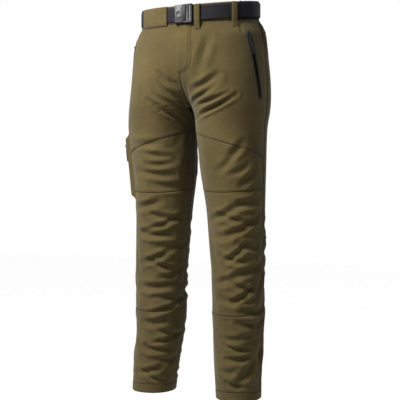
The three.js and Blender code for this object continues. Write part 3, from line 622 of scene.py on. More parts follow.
@dataclass
class Drape:
    """The garment's outer surface as one grid of points for each side."""

    form: Form
    still: tuple = ()
    columns: int = 160
    rows: int = 340
    top: float = -24.0
    foot: float = -1040.0
    strength: float = 1.35
    points: dict = field(default_factory=dict)
    normals: dict = field(default_factory=dict)
    girth: dict = field(default_factory=dict)

    def __post_init__(self) -> None:
        """Lays the cloth on the form."""
        self.u = np.linspace(0, 1, self.columns + 1)
        self.z = np.linspace(self.top, self.foot, self.rows + 1)
        for side in Side:
            self.points[side] = self.form.surface(side, self.u[None, :], self.z[:, None])
            steps = np.linalg.norm(np.diff(self.points[side], axis=1), axis=-1)
            self.girth[side] = steps.sum(1)
        self.find_normals()

    def find_normals(self) -> None:
        """Works out the outward directions of the cloth."""
        for side in Side:
            p = self.points[side]
            across = np.gradient(p, axis=1)
            down = np.gradient(p, axis=0)
            normal = np.cross(down, across) * side.value
            length = np.linalg.norm(normal, axis=-1, keepdims=True)
            self.normals[side] = normal / np.maximum(length, 1e-9)

    def press(self, folds: tuple) -> None:
        """Presses folds into the cloth."""
        for side in Side:
            flat_x = (self.u[None, :] - 0.25) * self.girth[side][:, None]
            flat_y = np.broadcast_to(self.z[:, None], flat_x.shape)
            move = np.zeros_like(flat_x)
            for f in folds:
                if f.side is side:
                    move += self.fold_height(f, side, flat_x, flat_y)
            move = (move * self.freedom(side))[..., None]
            self.points[side] = self.points[side] + self.normals[side] * move
        self.find_normals()

    def freedom(self, side: Side) -> np.ndarray:
        """How freely each grid point may move: not at all on the edges and under the hardware."""
        z = self.z[:, None]
        free = smooth_step(self.u[None, :] / 0.03) * smooth_step((1 - self.u[None, :]) / 0.03)
        free = free * smooth_step((self.top - 3 - z) / 16) * smooth_step((z - self.foot - 24) / 14)
        for still in self.still:
            if still.side is None or still.side is side:
                turn = np.interp(-z, (-still.top[1], -still.bottom[1]), (still.top[0], still.bottom[0]))
                girth = self.girth[side][:, None]
                across = np.abs(self.u[None, :] - turn / 180) * girth - still.half
                beyond = np.maximum(across, np.maximum(z - still.top[1], still.bottom[1] - z))
                free = free * smooth_step(beyond / still.fade)
        return free

    def fold_height(self, fold: Fold, side: Side, flat_x: np.ndarray, flat_y: np.ndarray) -> np.ndarray:
        """How far one fold moves each grid point along its normal."""
        line = np.array(fold.line, float)
        girth = np.interp(-line[:, 1], -self.z, self.girth[side])
        track = np.stack([(line[:, 0] / 180 - 0.25) * girth, line[:, 1]], -1)
        track = smooth_track(track, 24)
        reach = 4.2 * fold.width
        best = np.full(flat_x.shape, 1e9)
        place = np.zeros(flat_x.shape)
        length = np.concatenate([[0], np.cumsum(np.linalg.norm(np.diff(track, axis=0), axis=1))])
        for k in range(len(track) - 1):
            a, b = track[k], track[k + 1]
            ab = b - a
            t = np.clip(((flat_x - a[0]) * ab[0] + (flat_y - a[1]) * ab[1]) / max(ab @ ab, 1e-9), 0, 1)
            d = np.hypot(flat_x - a[0] - t * ab[0], flat_y - a[1] - t * ab[1])
            nearer = d < best
            best = np.where(nearer, d, best)
            place = np.where(nearer, length[k] + t * (length[k + 1] - length[k]), place)
        ends = np.sin(np.pi * np.clip(0.08 + 0.84 * place / length[-1], 0, 1)) ** 0.8
        q = best / fold.width
        shape = -np.exp(-(q**1.35)) + 0.6 * np.exp(-(((q - 1.8) / 0.85) ** 2))
        return np.where(best < reach, self.strength * fold.depth * ends * shape, 0.0)

    def at(self, side: Side, u: np.ndarray, z: np.ndarray, offset: np.ndarray | float = 0.0) -> np.ndarray:
        """Points of the cloth, moved out along its normals by an offset."""
        u, z = np.broadcast_arrays(np.asarray(u, float), np.asarray(z, float))
        i = np.clip(u, 0, 1) * self.columns
        j = np.clip((z - self.top) / (self.foot - self.top), 0, 1) * self.rows
        i0 = np.minimum(i.astype(int), self.columns - 1)
        j0 = np.minimum(j.astype(int), self.rows - 1)
        fi, fj = (i - i0)[..., None], (j - j0)[..., None]

        def mix(grid: np.ndarray) -> np.ndarray:
            """A grid's values between its points."""
            upper = grid[j0, i0] * (1 - fi) + grid[j0, i0 + 1] * fi
            lower = grid[j0 + 1, i0] * (1 - fi) + grid[j0 + 1, i0 + 1] * fi
            return upper * (1 - fj) + lower * fj

        normal = mix(self.normals[side])
        normal /= np.maximum(np.linalg.norm(normal, axis=-1, keepdims=True), 1e-9)
        return mix(self.points[side]) + normal * np.asarray(offset, float)[..., None]

    def round_at(self, side: Side, z: np.ndarray) -> np.ndarray:
        """How far it is round a half of the garment at heights."""
        return np.interp(-np.asarray(z, float), -self.z, self.girth[side])


def smooth_track(points: np.ndarray, steps: int) -> np.ndarray:
    """A smooth line of evenly counted points through a few given ones."""
    count = len(points)
    if count < 3:
        t = np.linspace(0, 1, steps)[:, None]
        return points[0] * (1 - t) + points[-1] * t
    t = np.linspace(0, count - 1, steps)
    i = np.minimum(t.astype(int), count - 2)
    f = (t - i)[:, None]
    p0, p1 = points[np.maximum(i - 1, 0)], points[i]
    p2, p3 = points[i + 1], points[np.minimum(i + 2, count - 1)]
    square = (2 * p0 - 5 * p1 + 4 * p2 - p3) * f**2
    cube = (3 * p1 - p0 - 3 * p2 + p3) * f**3
    return 0.5 * (2 * p1 + (p2 - p0) * f + square + cube)


# ---------------------------------------------------------------- wrinkles


@dataclass
class Crumple:
    """A cloth simulation that wrinkles the drape: cloth cut a little too long and held softly in place.

    Attributes:
        columns: Cells round each half.
        rows: Cells from the waist to the hem.
        surplus: Height and how much longer than its place the cloth is there.
        seams: Heights round which the cloth is held firmly.
        hold: Height and how firmly the rest of the cloth is held there.
        most: Farthest that a point may move.
    """

    drape: Drape
    columns: int = 84
    rows: int = 200
    surplus: tuple = (
        (-24, 0.006), (-260, 0.014), (-430, 0.03), (-540, 0.07), (-800, 0.07), (-1000, 0.035),
    )
    seams: tuple = (-480, -812)
    hold: tuple = ((-24, 0.5), (-160, 0.3), (-300, 0.1), (-430, 0.05), (-520, 0.03), (-1040, 0.03))
    frames: int = 26
    most: float = 9.0

    def run(self) -> None:
        """Simulates both halves and moves the drape's points."""
        start = {side: self.grid(side) for side in Side}
        piece = self.sheet(start)
        self.simulate(piece)
        shape = bpy.context.evaluated_depsgraph_get()
        done = piece.evaluated_get(shape).to_mesh()
        found = np.empty(len(done.vertices) * 3)
        done.vertices.foreach_get("co", found)
        found = found.reshape(2, self.rows + 1, self.columns + 1, 3) / MM
        for k, side in enumerate(Side):
            move = found[k] - start[side]
            size = np.linalg.norm(move, axis=-1, keepdims=True)
            move = move * np.minimum(1, self.most / np.maximum(size, 1e-9))
            LOG.info("%s half moved %.1f mm at most, %.1f on average", side.word, size.max(), size.mean())
            self.drape.points[side] = self.drape.points[side] + self.finer(move)
        self.drape.find_normals()
        piece.evaluated_get(shape).to_mesh_clear()
        mesh = piece.data
        bpy.data.objects.remove(piece)
        bpy.data.meshes.remove(mesh)

    def grid(self, side: Side) -> np.ndarray:
        """The drape's points on the simulation's grid."""
        u = np.linspace(0, 1, self.columns + 1)[None, :]
        z = np.linspace(self.drape.top, self.drape.foot, self.rows + 1)[:, None]
        return self.drape.at(side, u, z)

    def sheet(self, start: dict) -> bpy.types.Object:
        """The simulation's cloth, with its hold on each point and its longer rest shape."""
        wide, tall = self.columns + 1, self.rows + 1
        cell = (np.arange(self.rows)[:, None] * wide + np.arange(self.columns)[None, :]).ravel()
        quad = np.stack([cell, cell + 1, cell + wide + 1, cell + wide], -1)
        faces = np.concatenate([quad, quad + wide * tall])
        points = np.concatenate([start[side].reshape(-1, 3) for side in Side]) * MM
        mesh = bpy.data.meshes.new("crumple")
        mesh.from_pydata(points.tolist(), [], faces.tolist())
        piece = bpy.data.objects.new("crumple", mesh)
        bpy.context.scene.collection.objects.link(piece)
        group = piece.vertex_groups.new(name="hold")
        z = np.linspace(self.drape.top, self.drape.foot, tall)
        seam = np.max([np.exp(-(((z - level) / 5) ** 2)) for level in self.seams], axis=0)[:, None]
        held_at = [-height for height, _ in self.hold]
        hold = np.interp(-z, held_at, [share for _, share in self.hold])[:, None]
        weights = []
        for side in Side:
            i = np.linspace(0, self.drape.columns, wide).round().astype(int)
            j = np.linspace(0, self.drape.rows, tall).round().astype(int)
            free = self.drape.freedom(side)[np.ix_(j, i)]
            weights.append(np.maximum(1 - free * (1 - hold), 0.6 * seam).ravel())
        for index, weight in enumerate(np.concatenate(weights).tolist()):
            group.add((index,), weight, "REPLACE")
        piece.shape_key_add(name="start")
        rest = piece.shape_key_add(name="longer")
        heights = -np.array([place for place, _ in self.surplus], float)
        fine = np.linspace(-40, 1060, 1101)
        extra = np.interp(fine, heights, [more for _, more in self.surplus])
        longer = np.concatenate([[0], np.cumsum(extra[:-1])])
        moved = points.copy()
        moved[:, 2] -= np.interp(-points[:, 2] / MM, fine, longer) * MM
        rest.data.foreach_set("co", moved.ravel())
        return piece

    def simulate(self, piece: bpy.types.Object) -> None:
        """Runs the cloth to its last frame."""
        scene = bpy.context.scene
        cloth = piece.modifiers.new("cloth", "CLOTH")
        settings = cloth.settings
        settings.quality = 5
        settings.mass = 0.25
        settings.air_damping = 2.0
        settings.tension_stiffness = settings.compression_stiffness = 18
        settings.shear_stiffness = 6
        settings.bending_stiffness = 0.15
        settings.pin_stiffness = 1.0
        settings.vertex_group_mass = "hold"
        settings.rest_shape_key = piece.data.shape_keys.key_blocks["longer"]
        settings.effector_weights.gravity = 0.05
        cloth.collision_settings.use_collision = False
        cloth.point_cache.frame_start, cloth.point_cache.frame_end = 1, self.frames
        for frame in range(1, self.frames + 1):
            scene.frame_set(frame)

    def finer(self, move: np.ndarray) -> np.ndarray:
        """The moves on the drape's own grid."""
        def spread(values: np.ndarray, count: int) -> np.ndarray:
            """Values at more places along the first axis, on a smooth curve."""
            place = np.linspace(0, len(values) - 1, count)
            k = np.minimum(place.astype(int), len(values) - 2)
            f = (place - k)[:, None, None]
            before, after = values[np.maximum(k - 1, 0)], values[np.minimum(k + 2, len(values) - 1)]
            a, b = values[k], values[k + 1]
            cube = f * (3 * (a - b) + after - before)
            square = f * (2 * before - 5 * a + 4 * b - after + cube)
            return a + 0.5 * f * (b - before + square)

        tall = spread(move, self.drape.rows + 1)
        return spread(tall.transpose(1, 0, 2), self.drape.columns + 1).transpose(1, 0, 2)


# ---------------------------------------------------------------- stitching


@dataclass
class Stitching:
    """Gathers sewing lines and lays stitches, or zip teeth, along them with Geometry Nodes."""

    pitch: float = 3.1
    stitch: float = 2.3
    thick: float = 0.55
    tooth_pitch: float = 1.7
    tooth_length: float = 1.1
    tooth_thick: float = 0.8
    lines: dict = field(default_factory=dict)

    def run(self, group: str, points: np.ndarray) -> None:
        """Adds one sewing line, points in millimetres."""
        self.lines.setdefault(group, []).append(points)

    def tree(self, material: bpy.types.Material) -> bpy.types.NodeTree:
        """The node tree that turns lines into rows of stitches."""
        tree = bpy.data.node_groups.new("stitch_rows", "GeometryNodeTree")
        face = tree.interface
        face.new_socket("Lines", in_out="INPUT", socket_type="NodeSocketGeometry")
        for name, value in (("Pitch", self.pitch), ("Stitch", self.stitch), ("Thick", self.thick)):
            socket = face.new_socket(name, in_out="INPUT", socket_type="NodeSocketFloat")
            socket.default_value = value * MM
        face.new_socket("Stitches", in_out="OUTPUT", socket_type="NodeSocketGeometry")

        def add(kind: str, **settings: object) -> bpy.types.Node:
            """Adds a node to the tree."""
            node = tree.nodes.new(kind)
            for name, value in settings.items():
                setattr(node, name, value)
            return node

        start, end = add("NodeGroupInput"), add("NodeGroupOutput")
        curve, resample = add("GeometryNodeMeshToCurve"), add("GeometryNodeResampleCurve", mode="LENGTH")
        points = add("GeometryNodeCurveToPoints", mode="EVALUATED")
        bead = add("GeometryNodeMeshUVSphere")
        bead.inputs["Segments"].default_value = 6
        bead.inputs["Rings"].default_value = 4
        bead.inputs["Radius"].default_value = 0.5
        place, size = add("GeometryNodeInstanceOnPoints"), add("ShaderNodeCombineXYZ")
        real, paint = add("GeometryNodeRealizeInstances"), add("GeometryNodeSetMaterial")
        smooth = add("GeometryNodeSetShadeSmooth")
        paint.inputs["Material"].default_value = material
        for a, b in (
            (start.outputs["Lines"], curve.inputs[0]), (curve.outputs[0], resample.inputs[0]),
            (start.outputs["Pitch"], resample.inputs["Length"]), (resample.outputs[0], points.inputs[0]),
            (points.outputs["Points"], place.inputs["Points"]),
            (bead.outputs[0], place.inputs["Instance"]),
            (points.outputs["Rotation"], place.inputs["Rotation"]),
            (start.outputs["Thick"], size.inputs[0]),
            (start.outputs["Thick"], size.inputs[1]), (start.outputs["Stitch"], size.inputs[2]),
            (size.outputs[0], place.inputs["Scale"]), (place.outputs[0], smooth.inputs[0]),
            (smooth.outputs[0], real.inputs[0]), (real.outputs[0], paint.inputs[0]),
            (paint.outputs[0], end.inputs[0]),
        ):
            tree.links.new(a, b)
        return tree

    def sew(self, shop: Workshop) -> None:
        """Makes each group of lines a piece of stitches."""
        for group, lines in self.lines.items():
            points, edges = [], []
            for line in lines:
                edges += [(len(points) + k, len(points) + k + 1) for k in range(len(line) - 1)]
                points += (line * MM).tolist()
            mesh = bpy.data.meshes.new(group)
            mesh.from_pydata(points, edges, [])
            finish, slot, values = shop.wardrobe.thread, "shell_cloth", {}
            if group.endswith("_teeth"):
                finish, slot = shop.wardrobe.moulded, "moulded"
                values = {
                    "Pitch": self.tooth_pitch * MM, "Stitch": self.tooth_length * MM,
                    "Thick": self.tooth_thick * MM,
                }
            shop.link(group, bake_nodes(mesh, self.tree(finish), values), finish, slot)


def bake_nodes(
    mesh: bpy.types.Mesh, tree: bpy.types.NodeTree, values: dict | None = None
) -> bpy.types.Mesh:
    """Runs a node tree on a mesh and returns the result as a plain mesh.

    Args:
        mesh: What the tree starts from.
        tree: The Geometry Nodes tree.
        values: Input names to values.

    Returns:
        The evaluated mesh.
    """
    holder = bpy.data.objects.new("holder", mesh)
    bpy.context.scene.collection.objects.link(holder)
    modifier = holder.modifiers.new("nodes", "NODES")
    modifier.node_group = tree
    for item in tree.interface.items_tree:
        if item.in_out == "INPUT" and item.name in (values or {}):
            modifier[item.identifier] = values[item.name]
    evaluated = holder.evaluated_get(bpy.context.evaluated_depsgraph_get())
    result = bpy.data.meshes.new_from_object(evaluated)
    bpy.data.objects.remove(holder)
    return result


# ---------------------------------------------------------------- panels


class Edge(Enum):
    """How a panel's edge is sewn."""

    UNDER = 0
    OVER = 1


@dataclass
class Seams:
    """Where the seams run. Heights come from the frame's panels."""

    thigh_inner: float = -310.0
    thigh_outer: float = -396.0
    knee_sag: float = 13.0
    yoke_side: float = -62.0
    yoke_back: float = -92.0
    back_knee: float = -612.0
    knee_top: float = -474.0
    knee_bottom: float = -799.0
    band: float = -24.0
    hem_band: float = -1016.0
    foot: float = -1040.0

    def __post_init__(self) -> None:
        """Reads the level seams from the frame."""
        low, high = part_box("left_hem_band")
        self.foot, self.hem_band = low.z / MM, high.z / MM + 0.15
        self.back_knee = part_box("left_calf_panel")[1].z / MM + 0.15
        low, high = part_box("left_knee_panel")
        self.knee_top, self.knee_bottom = high.z / MM + 0.15, low.z / MM - 0.15 + self.knee_sag

    def sag(self, u: np.ndarray) -> np.ndarray:
        """How much lower a knee seam runs at a place round the front."""
        return self.knee_sag * np.sin(np.clip(u / 0.5, 0, 1) * np.pi)

    def line(self, name: str, u: np.ndarray) -> np.ndarray:
        """Height of a named seam at places round the half."""
        u = np.asarray(u, float)
        if name == "thigh":
            return self.thigh_inner + (self.thigh_outer - self.thigh_inner) * u / 0.5
        if name == "knee_top":
            return self.knee_top - self.sag(u)
        if name == "knee_bottom":
            return self.knee_bottom - self.sag(u)
        if name == "yoke":
            return self.yoke_side + (self.yoke_back - self.yoke_side) * (u - 0.5) / 0.5
        return np.full_like(u, getattr(self, name))


@dataclass
class PanelCut:
    """One panel between two upright seams and two named seam lines."""

    node: str
    u0: float
    u1: float
    top: str
    bottom: str
    top_edge: Edge
    bottom_edge: Edge


@dataclass
class Panels:
    """The cloth panels of both legs.

    Attributes:
        drape: The cloth that they are cut from.
        seams: Where they are cut.
        shop: What makes them pieces.
        sewing: What takes their rows of stitches.
        cell: Length of a mesh cell.
        cloth: Thickness of the cloth.
        tuck: Depth of the dip at a seam.
        fell: Rise of the cloth where the seam allowance lies under it.
        fell_width: Width of that rise.
        fork: Height of the fork.
        gap: Half the gap between two panels.
        turned_out: Half width of the seam allowances down the outside.
        turned_in: Half width of those down the inside and the middle.
        turned_front: How far off the cloth the front of an allowance lies.
        turned_rear: The same of its rear.
        rise_top: Height at which the front middle's allowance begins, below the fly.
        row_near: Distance of the first row of stitches from its seam.
    """

    drape: Drape
    seams: Seams
    shop: Workshop
    sewing: Stitching
    cell: float = 3.0
    cloth: float = 1.0
    tuck: float = 1.0
    fell: float = 0.55
    fell_width: float = 8.0
    fork: float = -265.0
    gap: float = 0.3
    turned_out: float = 7.0
    turned_in: float = 6.0
    turned_front: float = -2.5
    turned_rear: float = -2.9
    rise_top: float = -183.0
    row_near: float = 2.2

    def cuts(self) -> tuple:
        """The panels of one side."""
        under, over = Edge.UNDER, Edge.OVER
        return (
            PanelCut("front_panel", 0, 0.5, "band", "thigh", under, over),
            PanelCut("thigh_panel", 0, 0.5, "thigh", "knee_top", under, over),
            PanelCut("knee_panel", 0, 0.5, "knee_top", "knee_bottom", under, under),
            PanelCut("shin_panel", 0, 0.5, "knee_bottom", "hem_band", over, under),
            PanelCut("back_yoke", 0.5, 1, "band", "yoke", under, over),
            PanelCut("back_panel", 0.5, 1, "yoke", "back_knee", under, over),
            PanelCut("calf_panel", 0.5, 1, "back_knee", "hem_band", under, under),
        )

    def relief(self, distance: np.ndarray, edge: Edge) -> np.ndarray:
        """Height of the cloth near a seam, by distance from it."""
        dip = -self.tuck * np.exp(-((distance / 1.5) ** 2))
        within = 1 - smooth_step((distance - self.fell_width) / 2.5)
        band = self.fell * smooth_step(distance / 2.0) * within
        pucker = -0.25 * np.exp(-(((distance - self.fell_width) / 2.0) ** 2))
        return dip + (band + pucker if edge is Edge.OVER else 0.0)

    def build(self, slots: dict) -> None:
        """Makes every panel.

        Args:
            slots: Node name to the zip slot that is cut in it.
        """
        for side in Side:
            for cut in self.cuts():
                node = f"{side.word}_{cut.node}"
                self.panel(side, cut, node, slots.get(node))
            self.hem(side)

    def panel(self, side: Side, cut: PanelCut, node: str, slot: "ZipSlot | None") -> None:
        """Makes one panel and sews its raised edges."""
        middle = (cut.u0 + cut.u1) / 2
        tall = float(self.seams.line(cut.top, middle) - self.seams.line(cut.bottom, middle))
        heights = self.seams.line(cut.top, middle) - np.linspace(0, tall, 9)
        wide = self.drape.round_at(side, heights) * (cut.u1 - cut.u0)
        cols, rows = int(wide.max() / self.cell), int(tall / self.cell)
        s, t = np.meshgrid(np.linspace(0, 1, cols + 1), np.linspace(0, 1, rows + 1))
        u = cut.u0 + (cut.u1 - cut.u0) * s
        keep = None
        if slot is not None:
            z = self.seams.line(cut.top, u) * (1 - t) + self.seams.line(cut.bottom, u) * t
            u, keep = slot.warp(u, z, cut)
        top, bottom = self.seams.line(cut.top, u), self.seams.line(cut.bottom, u)
        z = top * (1 - t) + bottom * t
        girth = self.drape.round_at(side, z)
        along, from_low = (u - cut.u0) * girth, (cut.u1 - u) * girth
        inset = self.gap / girth
        u_in = np.clip(u, cut.u0 + inset, cut.u1 - inset)
        z_in = np.clip(z, bottom + self.gap, top - self.gap)
        height = self.relief(top - z, cut.top_edge) + self.relief(z - bottom, cut.bottom_edge)
        height += self.relief(along, Edge.OVER if cut.u0 == 0.5 else Edge.UNDER)
        height += self.relief(from_low, Edge.UNDER)
        outer = self.drape.at(side, u_in, z_in, height)
        inner = self.drape.at(side, u_in, z_in, height - self.cloth)
        uv = np.stack([u * girth.mean() * side.value, z], -1) * MM
        mesh = self.shop.shell(node + "_cloth", outer, inner, uv, keep)
        piece = self.shop.link(node + "_cloth", mesh, self.shop.wardrobe.shell, "shell_cloth")
        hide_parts(node)
        mean_girth = self.drape.round_at(side, heights).mean()
        self.topstitch(side, cut)

    def allowances(self) -> None:
        """Makes the turned-in seam allowances behind the upright seams."""
        drape, reach = self.drape, np.linspace(-1, 1, 7)[None, :]
        faces = (self.turned_front, self.turned_rear)
        band, foot = self.seams.band, self.seams.foot + 3
        for side in Side:
            z = np.linspace(band - 4, foot, 330)[:, None]
            u = 0.5 + self.turned_out * reach / drape.round_at(side, z)
            self.allowance(f"{side.word}_outside_seam", *(drape.at(side, u, z, off) for off in faces))
            z = np.linspace(self.fork - 27, foot, 250)[:, None]
            u = (self.turned_in * reach / drape.round_at(side, z)) % 1.0
            self.allowance(f"{side.word}_inside_seam", *(drape.at(side, u, z, off) for off in faces))
            u, z = np.meshgrid(np.linspace(0.2, 1, 90), np.linspace(band + 6, band - 5, 6))
            face = drape.form.surface(side, u, z)
            out = np.cross(np.gradient(face, axis=0), np.gradient(face, axis=1)) * side.value
            out /= np.linalg.norm(out, axis=-1, keepdims=True)
            self.allowance(f"{side.word}_waist_seam", face - 3.0 * out, face - 3.4 * out)
        for name, place, top in (("front", 0.0, self.rise_top), ("back", 1.0, band - 4)):
            z = np.linspace(top, self.fork + 4, 90)[:, None]
            self.allowance(f"{name}_rise_seam", *(self.rise(place, z, off) for off in faces))

    def rise(self, place: float, z: np.ndarray, off: float) -> np.ndarray:
        """One face of the allowance behind the middle seam, across both halves."""
        halves = []
        for side in Side:
            share = self.turned_in * np.linspace(1, 0.08, 4)[None, :] / self.drape.round_at(side, z)
            halves.append(self.drape.at(side, np.abs(place - share), z, off))
        return np.concatenate([halves[0], halves[1][:, ::-1]], axis=1)

    def allowance(self, name: str, outer: np.ndarray, inner: np.ndarray) -> None:
        """One strip of seam allowance."""
        s, t = np.meshgrid(np.arange(outer.shape[1]) * 2.0, np.arange(outer.shape[0]) * 3.0)
        mesh = self.shop.shell(name, outer, inner, np.stack([s, t], -1) * MM)
        self.shop.link(name, mesh, self.shop.wardrobe.shell, "shell_cloth")

    def topstitch(self, side: Side, cut: PanelCut) -> None:
        """Two rows of stitches beside each raised edge of a panel."""
        group = f"{side.word}_leg_stitches"
        u = np.linspace(cut.u0 + 0.012, cut.u1 - 0.012, 90)
        for name, edge, sign in ((cut.top, cut.top_edge, -1), (cut.bottom, cut.bottom_edge, 1)):
            if edge is Edge.OVER:
                for away in (self.row_near, self.fell_width - 1.2):
                    z = self.seams.line(name, u) + sign * away
                    self.sewing.run(group, self.drape.at(side, u, z, self.fell + 0.1))
        if cut.u0 == 0.5:
            high, low = self.seams.line(cut.top, 0.5) - 3, self.seams.line(cut.bottom, 0.5) + 3
            z = np.linspace(high, low, 160)
            for away in (self.row_near, self.fell_width - 1.2):
                u = 0.5 + away / self.drape.round_at(side, z)
                self.sewing.run(group, self.drape.at(side, u, z, self.fell + 0.1))

    def hem(self, side: Side) -> None:
        """The doubled band at a leg's foot, with its row of stitches."""
        node = f"{side.word}_hem_band"
        u = np.linspace(0, 1, 150, endpoint=False)
        t = np.linspace(0, 1, 12)[:, None]
        top, foot = self.seams.hem_band - 0.3, self.seams.foot
        z = top + (foot - top) * t + 0 * u
        lift = self.relief(top - z, Edge.UNDER) + 0.35 - 1.2 * smooth_step((foot + 3 - z) / 3) ** 2
        outer = self.drape.at(side, u[None, :] + 0 * t, z, lift)
        inner = self.drape.at(side, u[None, :] + 0 * t, z, np.minimum(lift, 0.35) - 2.2)
        for grid in (outer, inner):
            grid[..., 2] = np.maximum(grid[..., 2], foot)
        girth = float(self.drape.round_at(side, foot))
        uv = np.stack([u[None, :] * girth + 0 * t, z], -1) * MM
        mesh = self.shop.shell(node + "_cloth", outer, inner, uv, closed=True)
        piece = self.shop.link(node + "_cloth", mesh, self.shop.wardrobe.shell, "shell_cloth")
        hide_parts(node)
        ring = np.append(u, 1.0)
        for away in (2.0, (top - foot) - 4.0):
            self.sewing.run(f"{side.word}_leg_stitches", self.drape.at(side, ring, top - away, 0.75))


@dataclass
class ZipSlot:
    """The opening that a zip shows through.

    Attributes:
        heights: Heights down the opening, from its top to its bottom.
        places: Where round the half its middle is at those heights.
        half: Half its width, as a share of the half garment.
    """

    heights: np.ndarray
    places: np.ndarray
    half: float

    def warp(self, u: np.ndarray, z: np.ndarray, cut: PanelCut) -> tuple:
        """Bends a panel's columns onto the slot's two edges.

        Args:
            u: The panel's places round the half, rows by columns.
            z: Its heights.
            cut: The panel.

        Returns:
            The bent places, and which cells are kept.
        """
        cols = u.shape[1] - 1
        per_share = cols / (cut.u1 - cut.u0)
        low = int(round((float(np.mean(self.places)) - self.half) * per_share))
        high = low + max(2, int(round(2 * self.half * per_share)))
        centre = np.interp(-z[:, low], -self.heights, self.places)
        k = np.arange(cols + 1)
        marks = [0, low, high, cols]
        edges = [[cut.u0, c - self.half, c + self.half, cut.u1] for c in centre]
        bent = np.array([np.interp(k, marks, edge) for edge in edges])
        keep = np.ones((u.shape[0] - 1, cols), bool)
        middle = (z[1:, :-1] + z[:-1, :-1]) / 2
        inside = (middle < self.heights[0]) & (middle > self.heights[-1])
        keep[:, low:high] &= ~inside[:, low:high]
        return bent, keep


